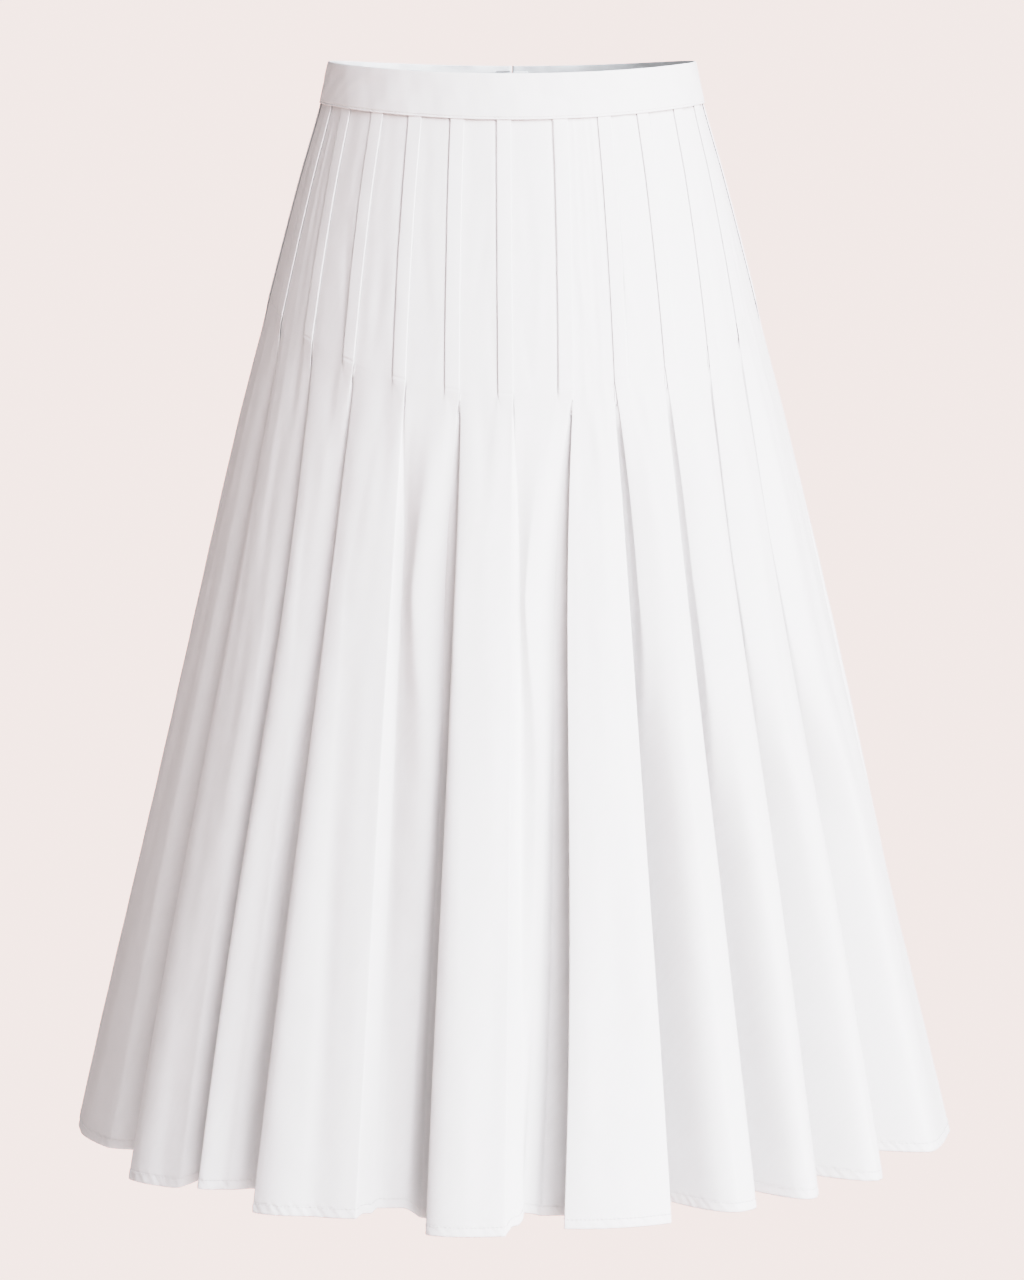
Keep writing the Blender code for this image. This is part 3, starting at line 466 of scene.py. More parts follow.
def pleat_corners(i, level):
    """The corners of pleat i's fold: (name, degrees, out, drop, rounding), in the order of growing
    angles. They're worked out in metres as (along, out) from the fold's edge, along being away from
    the panel on top. Just below its stitching the pleat has a pressed fold, which lower down rounds
    off into a soft fall; the panel under it keeps a crisp edge. A pleat with no fall opens out flat
    into the panel that lies back beside it."""
    row = PLEATS[i]
    turn, fall_mid, fall_hem, floor_mid, floor_hem, depth, edge_drop, rise, softens = row[1], *row[8:16]
    before, after = PANELS[i - 1], PANELS[i]
    top, under = (before, after) if turn > 0 else (after, before)
    p = max(level - 1, 0.0)
    deep, shift = p**DEPTH_GROWTH, p**SHIFT_GROWTH
    edge, crisp = pleat_angles(row, level)
    per_metre = degrees_for(1.0, edge, height_at(edge, level, 0.0))
    k = turn * (crisp - edge) / per_metre
    top_out, under_out = panel_out(top, p, turn > 0), panel_out(under, p, turn < 0)
    whole, gone = POCKET_SPAN
    fades = 1 - smooth((p - whole) / gone)
    pocket = POCKET * max(1 - depth / POCKET_DEPTH, 0) * smooth(p / whole) * fades
    deepness = deep * mix(DEPTH_START, 1.0, smooth(p / DEPTH_SPAN))
    floor = min(top_out, under_out) - depth / 1000 * deepness - pocket
    lift = 2 * LAYER * (1 - smooth(p / RISEN))
    base, under_base = top_out - lift, under_out - lift
    opens = fall_hem == 0
    soft = smooth((p - softens) / SOFT_SPAN + 0.5)
    stitched, near = 1 - smooth(p / UNSTITCHED), 1 - smooth(p / SPREAD)
    dent = END_DENT * math.exp(-(((level - END_LEVEL) / END_REACH) ** 2))
    early = min(p / MID, 1.0)

    # The pressed fold, with its steps at the stitching above
    steps = (-STRIP - STEP_OUT, -STRIP, -STRIP + STEP_IN, -STRIP + 2 * STEP_IN)
    heights = (base, base - GROOVE, top_out - PULLED_IN - dent, top_out - dent)
    wide = mix(PRESSED_WIDE[0], OPEN_WIDE if opens else PRESSED_WIDE[1], early)
    fall = (OPEN_FALL if opens else 1.0) * PRESSED_FALL * early**FALL_GROWTH
    pressed = []
    for share, step, height in zip(PRESSED_SHARES, steps, heights):
        free_out = base + lift * (1 - share) ** LIFT_ROUND - fall * (1 - share) ** PRESSED_ROUND
        pressed.append((mix(-wide * share, step, near), mix(free_out, height, stitched)))
    edge_out = top_out - fall
    pressed.append((0.0, edge_out - dent))
    landed = mix(under_base + MOUTH, edge_out - LAYER, min(p / LANDED_SPAN, 1.0))
    come_round = min(p / TURNED_SPAN, 1.0)
    pressed.append((0.08 * k, mix(landed, mix(edge_out, floor, 0.45), come_round)))
    under_fold = (k + 0.25 * UNDERCUT, floor)
    tucked = (-TUCK, min(top_out, under_out) - 1.5 * LAYER - SUNK * (1 - stitched))
    turned = smooth(p / FOLDED_SPAN)
    hidden = np.array([mix(a, b, turned) for a, b in zip(tucked, under_fold)])
    apart = LAYER + FOLD_WIDEN * shift
    pressed += [hidden - (apart / 2, 0.0), hidden + (apart / 2, 0.0)]
    edge_fall = 0.0 if opens else edge_drop / 1000 * p**EDGE_GROWTH
    crisp_out = under_base - edge_fall
    pressed.append(
        (mix(0.001, k + 0.2 * UNDERCUT, turned), mix(under_base, mix(crisp_out, floor, 0.45), turned))
    )
    pressed.append((k + CRISP_OFF * (1 - smooth(p / CRISP_SPAN)), crisp_out))

    # What it has become lower down
    if opens:
        trough = edge_drop / 1000 * trough_growth(p)
        step_out = edge_out - OPEN_STEP
        lower = pressed[:5] + [(0.03 * k, step_out)]
        for share, part in OPEN_SHARES:
            lower.append((share * k, mix(step_out, under_out, share) - trough * part))
        lower.append((k, under_out - trough))
        soft = smooth(p / OPEN_SPAN)
    else:
        lowness = (p - MID) / (1 - MID)
        width, flat = mix(fall_mid, fall_hem, lowness) / 1000, mix(floor_mid, floor_hem, lowness) / 1000
        lower = []
        for share in FALL_SHARES:
            lower.append((k - flat - width * (1 - share), base + (floor - base) * share**FALL_POWER))
        inner = k + UNDERCUT + max(-flat, 0.0)
        lower += [(inner - apart / 2, floor), (inner + apart / 2, floor)]
        lower += [(k + 0.45 * UNDERCUT, mix(crisp_out, floor, 0.40)), (k, crisp_out)]

    drop_top, drop_under = top[4] / 1000, under[4] / 1000
    drop_floor = (drop_top + drop_under) / 2 - rise / 1000
    half = LAYER / 2
    names = ("s1", "s2", "s3", "s4", "edge", "turned", "in1", "in2", "rise", "crisp")
    # Below its stitching each corner is freer, and rounder, than in the tuck
    free = 0.03 * deep**0.3 * (1 - stitched)
    roundings = (  # in metres
        0.0006 + free,
        0.0003 + free,
        0.0006 + free,
        0.0010 + free,
        mix(1.6, 1.0, come_round) * half + mix(0.0006 * early, 0.0022 if opens else 0.03, soft),
        half + mix(0.010 * early, 0.03, soft),
        half + (0.02 if opens else 0.002) * early,
        half + (0.02 if opens else 0.002) * early,
        0.002 + 0.010 * shift,
        0.02 if opens else 0.0018,
    )
    corners = []
    for n, name in enumerate(names):
        along, out = (mix(pressed[n][j], lower[n][j], soft) for j in (0, 1))
        if n < 6:
            low = min(max((top_out - out) / max(top_out - floor, 1e-6), 0.0), 1.0)
            drop = mix(drop_top, drop_floor, low)
        elif n < 9:
            drop = drop_floor if not opens else mix(drop_top, drop_under, 0.5)
        else:
            drop = drop_under
        corners.append((name, edge + turn * along * per_metre, out, drop, roundings[n]))
    return corners if turn > 0 else corners[::-1]


def face_corners(i, start, end, level):
    """The three corners across panel i's face, between the last corner of one pleat and the first of
    the next. The face falls a little to each crisp edge."""
    tilt, drop = (value / 1000 for value in PANELS[i][3:5])
    p = max(level - 1, 0.0)
    out = panel_out(PANELS[i], p, False) - 2 * LAYER * (1 - smooth(p / RISEN))
    (first_turn, first_fall, first_drop), (last_turn, _, last_drop) = (
        (row[1], row[9], row[13]) for row in (PLEATS[i], PLEATS[(i + 1) % len(PLEATS)])
    )
    dips = [0.0, 0.0, 0.0]
    if first_turn > 0 and not first_fall:
        trough = first_drop * trough_growth(p)
        dips = [trough * share / max(p, 1e-6) ** EDGE_GROWTH for share in TROUGH_ROUND]
    elif first_turn > 0:
        dips = [dip + first_drop * share for dip, share in zip(dips, EDGE_ROUND)]
    if last_turn < 0:
        dips = [dip + last_drop * share for dip, share in zip(dips, EDGE_ROUND[::-1])]
    made = []
    for share, dip in zip(FACE_SHARES, dips):
        face_out = out - dip / 1000 * p**EDGE_GROWTH + tilt * p * share**TILT_POWER
        made.append(("face", mix(start, end, share), face_out, drop, 1.0))
    return made


def panel_corners(first_pleat, last_pleat, level):
    """All the corners of a panel's row, from pleat to pleat."""
    made = []
    for i in range(first_pleat, last_pleat + 1):
        k = i % len(PLEATS)
        turns = 360.0 * (i // len(PLEATS))
        fold = [(n, deg + turns, out, drop, r) for n, deg, out, drop, r in pleat_corners(k, level)]
        if made:
            made += face_corners((i - 1) % len(PLEATS), made[-1][1], fold[0][1], level)
        made += fold
    return made


def place(corner, level):
    _, deg, out, drop, _ = corner
    return point_at(deg, out, height_at(deg, level, drop))


def level_way(step):
    """The unit vector of this step, made level. It changes the step itself."""
    step[2] = 0
    step /= np.linalg.norm(step)
    return step


def ended(corners, points, side, under):
    """Cuts a row at its first end: in the inner fold at a side seam, or at the middle of the face at
    centre back. Adds the seam allowance, turned in. Works on reversed lists for the last end. Under is
    1 where the centre-back allowance lies behind the other panel, which closes the seam below the zip."""
    names = [c[0] for c in corners]
    if side == "fold":
        k = max(j for j in range(12) if names[j] in ("in1", "in2"))
        mouth = (points[k + 1] + points[k - 2]) / 2
        fold = (points[k] + points[k - 1]) / 2
        extra = [points[k] + level_way(fold - mouth) * ALLOWANCE]
        return [("end", 0.0)] + [(c[0], c[4]) for c in corners[k:]], extra + points[k:]
    k = names.index("face") + 1
    way = level_way(points[k + 1] - points[k])
    inwards = np.array((0.0, -1.0, 0.0))
    here = points[k] + way * SEAM_GAP / 2
    turn_in = here + inwards * (2 + 1.2 * under) * LAYER
    extra = [turn_in + inwards * 0.3 * under * LAYER + way * ALLOWANCE * (1 - 2 * under), turn_in, here]
    tags = [("end", 0.0), ("seam", LAYER), ("seam", LAYER)]
    return tags + [(c[0], c[4]) for c in corners[k + 1 :]], extra + points[k + 1 :]


def rounded(points, tags):
    """The row's smooth line: each corner is cut by an arc that starts its rounding before it, and no
    further than half way to its neighbours. Returns the samples and the number of each one's corner."""
    points = np.array(points)
    steps = np.diff(points, axis=0)
    lengths = np.linalg.norm(steps, axis=1)
    ways = steps / lengths[:, None]
    line, owner = [points[0]], [0]
    for k in range(1, len(points) - 1):
        name, rounding = tags[k]
        count = SAMPLES.get(name, OTHER_SAMPLES)
        before = min(rounding, lengths[k - 1] / 2)
        after = min(rounding, lengths[k] / 2)
        start, end = points[k] - ways[k - 1] * before, points[k] + ways[k] * after
        for j in range(count):
            t = (j + 0.5) / count
            line.append((1 - t) ** 2 * start + 2 * t * (1 - t) * points[k] + t * t * end)
            owner.append(k)
    line.append(points[-1])
    owner.append(len(points) - 1)
    return np.array(line), owner


def row_levels():
    levels = []
    for (level, count), (after, _) in zip(ROW_RUNS, ROW_RUNS[1:]):
        levels += [mix(level, after, j / count) for j in range(count)]
    return levels + [ROW_RUNS[-1][0]]


def panel_grid(first_pleat, last_pleat):
    """(levels, tags of the corners, owner corner of each column, grid of points)."""
    starts = "back" if first_pleat == BACK_PANEL else "fold"
    ends = "back" if last_pleat == BACK_PANEL + 1 else "fold"
    levels = row_levels() + [2.0]
    rows = []
    for level in levels:
        corners = panel_corners(first_pleat, last_pleat, level)
        points = [place(c, level) for c in corners]
        under = smooth((level - ZIP_LEVEL) / SEAM_CLOSES)
        tags, points = ended(corners, points, starts, under)
        pads = [(tag[0], 0, 0, 0, tag[1]) for tag in tags]
        tags, points = ended(pads[::-1], points[::-1], ends, 0.0)
        tags, points = tags[::-1], points[::-1]
        line, owner = rounded(points, tags)
        rows.append(line)
    return levels, tags, owner, np.array(rows)


def normals_of(grid):
    """Unit normals of a grid of points, outwards where its columns run with growing angles and its
    rows run down."""
    along = np.gradient(grid, axis=1)
    down = np.gradient(grid, axis=0)
    normal = np.cross(down, along)
    return normal / np.maximum(np.linalg.norm(normal, axis=2), 1e-12)[:, :, None]


def crease(u, v, lean, reach, wide, depth):
    """How far out a crease that leans stands at u along and v across its upright line, in metres. Its
    half length, half width and depth are in millimetres."""
    c, d = math.cos(math.radians(lean)), math.sin(math.radians(lean))
    along, away = (u * c + v * d) / (reach / 1000), (v * c - u * d) / (wide / 1000)
    return depth / 1000 * np.exp(-(along**2) - away**2)


def waved(levels, names, grid):
    """The grid with the cloth's soft waves, the puckers across its stitched tucks, and its creases."""
    normals = normals_of(grid)
    rows, columns = grid.shape[:2]
    weights = np.array([WAVE_WEIGHTS.get(name, 0.0) for name in names])
    weights = np.convolve(weights, np.full(5, 0.2), mode="same")
    levels = np.array(levels)
    below = np.clip((levels - 1.0) / WAVES_BELOW, 0.0, 1.0)[:, None]
    guide = lengths_along(grid, 1)[int(np.argmin(abs(levels - GUIDE_LEVEL)))][None, :]
    height = grid[:, :, 2]
    out = np.zeros((rows, columns))
    for across, down, depth_yoke, depth_below, turn in WAVES:
        bend = 1.1 * np.sin(2 * math.pi * guide / (7.3 * across) + 2.0 * turn)
        strength = mix(depth_yoke, depth_below, below)
        out += strength * np.sin(2 * math.pi * (guide / across + height / down) + turn + bend)
    degrees = np.degrees(np.arctan2(grid[:, :, 0], -grid[:, :, 1]))
    reach = np.hypot(grid[:, :, 0], grid[:, :, 1]) * math.radians(1.0)
    for middle, level, half_long, lean, half_wide, depth in CREASES:
        off = (degrees - middle + 180.0) % 360.0 - 180.0
        out += crease(level / 1000 - height, off * reach, lean, half_long, half_wide, depth)
    strip = np.array([1.0 if name in ("s3", "s4", "edge") else 0.0 for name in names])[None, :]
    ripple = np.sin(2 * math.pi * height / PUCKER_PITCH + 2.3 * np.sin(height * 190.0 + guide * 31.0))
    patches = 0.35 + 0.65 * np.sin(guide * 83.0 + 0.7) ** 2
    out = out * weights[None, :] + PUCKER_DEPTH * patches * ripple * strip * (levels < PUCKERS_END)[:, None]
    return grid + normals * out[:, :, None]


def lengths_along(grid, axis):
    steps = np.linalg.norm(np.diff(grid, axis=axis), axis=2)
    total = np.cumsum(steps, axis=axis)
    pad = np.zeros_like(np.take(total, [0], axis=axis))
    return np.concatenate((pad, total), axis=axis)


def finer(line, counts):
    """A line with each of its steps divided into so many, along a smooth cubic."""
    tangent = np.gradient(line, axis=0)
    made = [line[:1]]
    for k, count in enumerate(counts):
        a, b, u, v = line[k], line[k + 1], tangent[k], tangent[k + 1]
        for j in range(1, count):
            made.append(cubic(a, b, u, v, j / count)[None])
        made.append(b[None])
    return np.concatenate(made)


def grid_faces(rows, columns, base=0, flipped=False):
    """Quads of a grid whose points start at base, row by row; flipped turns them to face the other way."""
    faces = []
    for r in range(rows - 1):
        for c in range(columns - 1):
            a = base + r * columns + c
            quad = (a, a + columns, a + columns + 1, a + 1)
            faces.append((a, *quad[:0:-1]) if flipped else quad)
    return faces


def new_mesh(name, points, faces, uvs=None):
    mesh = bpy.data.meshes.new(name)
    mesh.from_pydata([tuple(p) for p in points], [], faces)
    if uvs is not None:
        layer = mesh.uv_layers.new(name="UVMap")
        corners = np.empty(len(mesh.loops), np.int32)
        mesh.loops.foreach_get("vertex_index", corners)
        layer.data.foreach_set("uv", np.asarray(uvs, np.float32)[corners].ravel())
    mesh.polygons.foreach_set("use_smooth", [True] * len(mesh.polygons))
    mesh.update()
    made = bpy.data.objects.new(name, mesh)
    bpy.context.scene.collection.objects.link(made)
    return made


def hem_pucker(along, above):
    """How far the hem's twisted turning stands out, this far along it and above its edge."""
    patches = 0.55 + 0.45 * np.sin(along * 37.0 + 1.3) * np.sin(along * 13.7 + 0.4)
    ripple = np.sin(2 * math.pi * (along + 0.9 * above) / 0.0083 + 1.7 * np.sin(along * 61.0))
    ripple += 0.5 * np.sin(2 * math.pi * (along + 1.1 * above) / 0.0053 + 2.1 * np.sin(along * 47.0))
    height = np.exp(-(((above - 0.0035) / 0.0040) ** 2))
    return HEM_PUCKER * patches * ripple * height


def cloth_panel(name, first_pleat, last_pleat):
    levels, tags, owner, grid = panel_grid(first_pleat, last_pleat)
    names = [tags[k][0] for k in owner]
    grid = waved(levels, names, grid)
    hem_line = grid[-1]
    top = grid[:-1]
    normals = normals_of(grid)
    across, down = lengths_along(top, 1), lengths_along(top, 0)
    rows, columns = top.shape[:2]
    points = [top.reshape(-1, 3)]
    uvs = [np.stack((across, down), axis=2).reshape(-1, 2)]
    faces = grid_faces(rows, columns)

    # The hem in finer columns, down to its edge, round it and up inside
    steps = np.linalg.norm(np.diff(hem_line, axis=0), axis=1)
    counts = [max(1, round(s / HEM_STEP)) for s in steps]
    last, edge = finer(top[-1], counts), finer(hem_line, counts)
    along = np.concatenate(([0.0], np.cumsum(np.linalg.norm(np.diff(edge, axis=0), axis=1))))
    tangents = np.gradient(edge, axis=0)
    tangents[:, 2] = 0
    tangents /= np.linalg.norm(tangents, axis=1)[:, None]
    outwards = np.stack((tangents[:, 1], -tangents[:, 0], np.zeros(len(edge))), axis=1)
    way = last - edge
    heights = np.linalg.norm(way, axis=1)
    way /= heights[:, None]
    start_v = float(down[-1].mean())
    reach = float(heights.mean())
    fine = []
    for above in HEM_ROWS:
        dent = -HEM_DENT * math.exp(-(((above - HEM_STITCH) / 0.0006) ** 2))
        fine.append((above, hem_pucker(along, above) + dent))
    for turn in (1, 2):
        angle = math.pi * turn / 2
        back = -HEM_WALL / 2 * (1 - math.cos(angle))
        above = HEM_ROUND * math.cos(angle) if turn == 1 else HEM_ROUND
        fine.append((above, back + hem_pucker(along, HEM_ROUND)))
    for above in (0.003, 0.0062, HEM_TURN):
        fine.append((above, -HEM_WALL + hem_pucker(along, above)))
    fine.append((HEM_TURN + 0.0003, -HEM_WALL * 0.45 + hem_pucker(along, HEM_TURN)))
    count = len(edge)
    base = rows * columns
    for k, (above, out) in enumerate(fine):
        points.append(edge + way * above + outwards * np.broadcast_to(out, (count,))[:, None])
        depth = reach - above if k < len(HEM_ROWS) else reach + above
        uvs.append(np.stack((along, np.full(count, start_v + depth)), axis=1))
    starts = np.concatenate(([0], np.cumsum(counts)))
    for c in range(columns - 1):
        a, b = (rows - 1) * columns + c, (rows - 1) * columns + c + 1
        low = [base + j for j in range(starts[c], starts[c + 1] + 1)]
        half = len(low) // 2
        for j in range(half):
            faces.append((a, low[j], low[j + 1]))
        faces.append((a, low[half], b))
        for j in range(half, len(low) - 1):
            faces.append((b, low[j], low[j + 1]))
    faces += grid_faces(len(fine), count, base)
    made = new_mesh(name, np.concatenate(points), faces, np.concatenate(uvs))
    hem = edge + way * HEM_STITCH + outwards * THREAD_OUT
    return made, {"levels": levels, "names": names, "owner": np.array(owner), "grid": grid,
                  "normals": normals, "hem": hem, "hem_out": outwards}


def seam_path(facts, name, first_level, last_level):
    """The middle column of every corner of this name, as lists of (row, column)."""
    paths = []
    owners = facts["owner"]
    rows = [r for r, level in enumerate(facts["levels"][:-1]) if first_level <= level <= last_level]
    for corner in sorted({owners[k] for k, n in enumerate(facts["names"]) if n == name}):
        columns = np.flatnonzero(owners == corner)
        paths.append([(r, int(columns[len(columns) // 2])) for r in rows])
    return paths


def between(line, reach, at):
    """A line's value at this length along it."""
    return np.array([np.interp(at, reach, line[:, j]) for j in range(3)])


def stitches(lines):
    """Points and faces of a row of thread stitches along each line of (points, normals)."""
    pitch, length, radius = STITCH_PITCH, STITCH_LONG, THREAD
    points, faces = [], []
    for line, normals in lines:
        steps = np.linalg.norm(np.diff(line, axis=0), axis=1)
        reach = np.concatenate(([0.0], np.cumsum(steps)))
        count = int(reach[-1] / pitch)
        if count < 1:
            continue
        spare = (reach[-1] - count * pitch) / 2
        for k in range(count):
            start = spare + (k + 0.5) * pitch - length / 2
            ends = [between(line, reach, at) for at in (start, start + length)]
            way = ends[1] - ends[0]
            way /= np.linalg.norm(way)
            up = between(normals, reach, start + length / 2)
            up -= way * np.dot(up, way)
            up /= np.linalg.norm(up)
            side = np.cross(way, up)
            base = len(points)
            points.append(ends[0] - up * radius)
            for share, size in ((0.14, 0.8), (0.5, 1.0), (0.86, 0.8)):
                middle = mix(ends[0], ends[1], share)
                for turn in range(STITCH_SIDES):
                    angle = 2 * math.pi * turn / STITCH_SIDES
                    points.append(middle + (up * math.cos(angle) + side * math.sin(angle)) * radius * size)
            points.append(ends[1] - up * radius)
            last = base + 3 * STITCH_SIDES + 1
            for turn in range(STITCH_SIDES):
                after = (turn + 1) % STITCH_SIDES
                a, b = base + 1 + turn, base + 1 + after
                faces.append((base, b, a))
                for ring in range(2):
                    c, d = a + ring * STITCH_SIDES, b + ring * STITCH_SIDES
                    faces.append((c, d, d + STITCH_SIDES, c + STITCH_SIDES))
                faces.append((a + 2 * STITCH_SIDES, b + 2 * STITCH_SIDES, last))
    return points, faces


def stitched_panel(name, facts):
    """The thread on a panel: down each tuck, a few runs from the tucks' lower ends, and round the hem."""
    grid, normals = facts["grid"], facts["normals"]
    lines = []
    for path in seam_path(facts, "s2", 0.004, END_LEVEL):
        rows, columns = zip(*path)
        lines.append((grid[rows, columns], normals[rows, columns]))
    owners, names = facts["owner"], facts["names"]
    row = max(r for r, level in enumerate(facts["levels"]) if level <= END_LEVEL)
    # Known fault: these runs were meant to cross each tuck's lower end. Owners holds corner numbers, but
    # names goes by column, so most tucks get no run and the others' runs go astray.
    for path in seam_path(facts, "s2", 0.99, 1.0):
        column = path[0][1]
        way = 1 if names[owners[column] + 1] == "s3" else -1
        end = column
        while names[owners[end]] != "edge" and 0 < end < grid.shape[1] - 1:
            end += way
        if abs(end - column) <= LONGEST_RUN:
            run = list(range(column, end + way, way))
            lines.append((grid[row, run], normals[row, run]))
    lines.append((facts["hem"], facts["hem_out"]))
    return new_mesh(name, *stitches(lines))


def band_top(deg):
    return BAND_TOP - BAND_TOP_DIP * math.cos(math.radians(deg)) ** 2


def band_relief(along, height):
    """How far the band's outer face stands out or in, this far along it from centre front and at this
    share of its height: a slight pillow, soft mottling, and its listed creases."""
    out = BAND_PILLOW * 4 * height * (1 - height)
    for across, up, depth, turn in BAND_WAVES:
        out = out + depth * np.sin(2 * math.pi * (along / across + height / up) + turn)
    for middle, level, reach, lean, wide, depth in BAND_CREASES:
        u, v = along - middle / 1000, (height - level) * BAND_HIGH
        out = out + crease(u, v, lean, reach, wide, depth)
    return out


def band_shell():
    """The waistband: its outer face, the fold along its top, its inner face, and both turned ends."""
    slot = degrees_for(BAND_SLOT[0], 180.0, 0.0)
    angles = np.linspace(-180.0 + slot, 180.0 - slot, BAND_COLUMNS)
    middle = np.array([point_at(deg, 0.0, 0.0) for deg in angles])
    along = np.concatenate(([0.0], np.cumsum(np.linalg.norm(np.diff(middle, axis=0), axis=1))))
    along -= along[-1] / 2
    rows, uvs, stitched = [], [], []
    low = np.array([seam_height(deg) for deg in angles]) + BAND_EDGE_UP
    high = np.array([band_top(deg) for deg in angles])
    fold = (BAND_FACE - BAND_BACK_TOP) / 2

    def row(out, z, v):
        line = [point_at(deg, o, h) for deg, o, h in zip(angles, np.broadcast_to(out, len(angles)), z)]
        open_to, closed_from = BAND_SLOT_HIGH
        closed = smooth((abs(z[0]) - open_to) / (closed_from - open_to))
        line[0][0] = -mix(*BAND_SLOT, closed)
        line[-1][0] = mix(*BAND_SLOT, closed)
        rows.append(line)
        uvs.append(np.stack((along, np.full(len(angles), v)), axis=1))

    for share in np.linspace(0.0, 1.0, 8):
        inner = mix(BAND_BACK, BAND_BACK_TOP, share) - 0.5 * band_relief(along, share)
        row(inner, mix(low, high - fold, share), -BAND_HIGH * (1 - share))
    top_relief = band_relief(along, 1.0)
    for step in range(1, 7):
        angle = math.pi * step / 7
        lean = mix(BAND_BACK_TOP, BAND_FACE, (1 - math.cos(angle)) / 2) + top_relief * step / 7
        row(lean, high - fold + fold * math.sin(angle), 0.0)
    for share in BAND_SHARES:
        row(BAND_FACE + band_relief(along, share), mix(low, high - fold, share), BAND_HIGH * (1 - share))
    for above in BAND_EDGE_ROWS:
        share = above / BAND_HIGH
        dent = BAND_DENT * math.exp(-(((above - BAND_STITCH) / 0.00045) ** 2))
        dent += 0.0006 * max(0.0, 1 - above / 0.0007) ** 2
        pucker = PUCKER_DEPTH * np.sin(2 * math.pi * along / STITCH_PITCH)
        pucker *= math.exp(-(((above - 0.0018) / 0.0012) ** 2))
        row(BAND_FACE + band_relief(along, share) - dent + pucker, low + above, BAND_HIGH * (1 - share))
        if above == BAND_STITCH:
            stitched = rows[-1]
    row(BAND_FACE - BAND_INSIDE[0], low + 0.0002, BAND_HIGH)
    row(BAND_FACE - BAND_INSIDE[1], low + 0.0040, BAND_HIGH + 0.004)
    grid = np.array(rows)
    columns = grid.shape[1]
    faces = grid_faces(len(grid), columns, flipped=True)
    for column in (0, columns - 1):
        inner, outer = 0, BAND_OUTER_LAST
        while outer - inner > 1:
            up_inside = grid[inner + 1, column, 2] <= grid[outer - 1, column, 2]
            after = inner + 1 if up_inside else outer - 1
            face = tuple(r * columns + column for r in (inner, after, outer))
            faces.append(face if column == 0 else face[::-1])
            inner, outer = (after, outer) if up_inside else (inner, after)
    made = new_mesh("waistband_cloth", grid.reshape(-1, 3), faces, np.concatenate(uvs))
    stitched = np.array(stitched)
    outwards = stitched - np.array([0.0, 0.0, 1.0]) * stitched
    outwards /= np.linalg.norm(outwards, axis=1)[:, None]
    keep = slice(2, -2)
    thread = stitches([(stitched[keep] + outwards[keep] * 0.00003, outwards[keep])])
    return made, new_mesh("waistband_stitching", *thread)


def tape_line(z):
    """How far out the zip's tapes lie at this height at centre back."""
    return point_at(180.0, TAPE_OUT, z)


def zip_tape(name, side):
    """One woven tape of the concealed zip and its coil, behind centre back, side -1 or +1."""
    low, high = height_at(180.0, ZIP_LEVEL, 0.0), ZIP_TOP
    count = int((high - low) / TAPE_STEP)
    points, uvs, faces = [], [], []
    for face_out in (TAPE_WALL / 2, -TAPE_WALL / 2):
        for k in range(count + 1):
            z = mix(high, low, k / count)
            y = tape_line(z)[1]
            for share in TAPE_SHARES:
                rounding = 1 - max(0.0, abs(share - 0.5) * 2 - 0.85) / 0.15 * 0.7
                x = mix(TAPE_NEAR, TAPE_NEAR + TAPE_WIDE, share) * side
                points.append((x, y + face_out * rounding, z))
                uvs.append((x, z + face_out * 40))
    columns, layer = len(TAPE_SHARES), (count + 1) * len(TAPE_SHARES)
    faces += grid_faces(count + 1, columns, 0, side < 0) + grid_faces(count + 1, columns, layer, side > 0)
    for k in range(count):
        for c in (0, columns - 1):
            a = k * columns + c
            faces.append((a, a + columns, layer + a + columns, layer + a))
    for k in (0, count):
        for c in range(columns - 1):
            a = k * columns + c
            faces.append((a, a + 1, layer + a + 1, layer + a))
    tape = new_mesh(name, points, faces, uvs)

    # The coil's turns, each a small bent bar that reaches over the tape's edge to the other side's
    points, faces = [], []
    for k in range(int((high - low - COIL_END) / COIL_PITCH)):
        z = high - COIL_END - (k + (0.5 if side > 0 else 0.0)) * COIL_PITCH
        y = tape_line(z)[1] - TAPE_WALL / 2 - COIL_RADIUS
        base = len(points)
        for j in range(COIL_RINGS):
            turn = math.pi * j / (COIL_RINGS - 1)
            here = np.array((
                side * mix(TAPE_NEAR + COIL_ON_TAPE, COIL_REACH, math.sin(turn) ** 0.6),
                y - COIL_BOW * (1 - math.cos(turn)) / 2,
                z + COIL_PITCH * 0.25 * math.cos(turn),
            ))
            for corner in range(COIL_SIDES):
                angle = 2 * math.pi * corner / COIL_SIDES
                level_part = math.cos(angle)
                away = (side * level_part * math.sin(turn), level_part * math.cos(turn), math.sin(angle))
                points.append(here + COIL_RADIUS * np.array(away))
        for j in range(COIL_RINGS - 1):
            for corner in range(COIL_SIDES):
                a = base + j * COIL_SIDES + corner
                b = base + j * COIL_SIDES + (corner + 1) % COIL_SIDES
                faces.append((a, b, b + COIL_SIDES, a + COIL_SIDES))
        faces.append(tuple(base + v for v in range(COIL_SIDES - 1, -1, -1)))
        faces.append(tuple(base + COIL_SIDES * (COIL_RINGS - 1) + v for v in range(COIL_SIDES)))
    coil = new_mesh(name + "_coil", points, faces)
    return tape, coil


def wave(nodes, links, coordinate, direction, scale, distortion):
    made = nodes.new("ShaderNodeTexWave")
    made.bands_direction = direction
    made.inputs["Scale"].default_value = scale
    made.inputs["Distortion"].default_value = distortion
    made.inputs["Detail"].default_value = 1.0
    made.inputs["Detail Scale"].default_value = 0.6
    links.new(coordinate, made.inputs["Vector"])
    return made.outputs["Fac"]


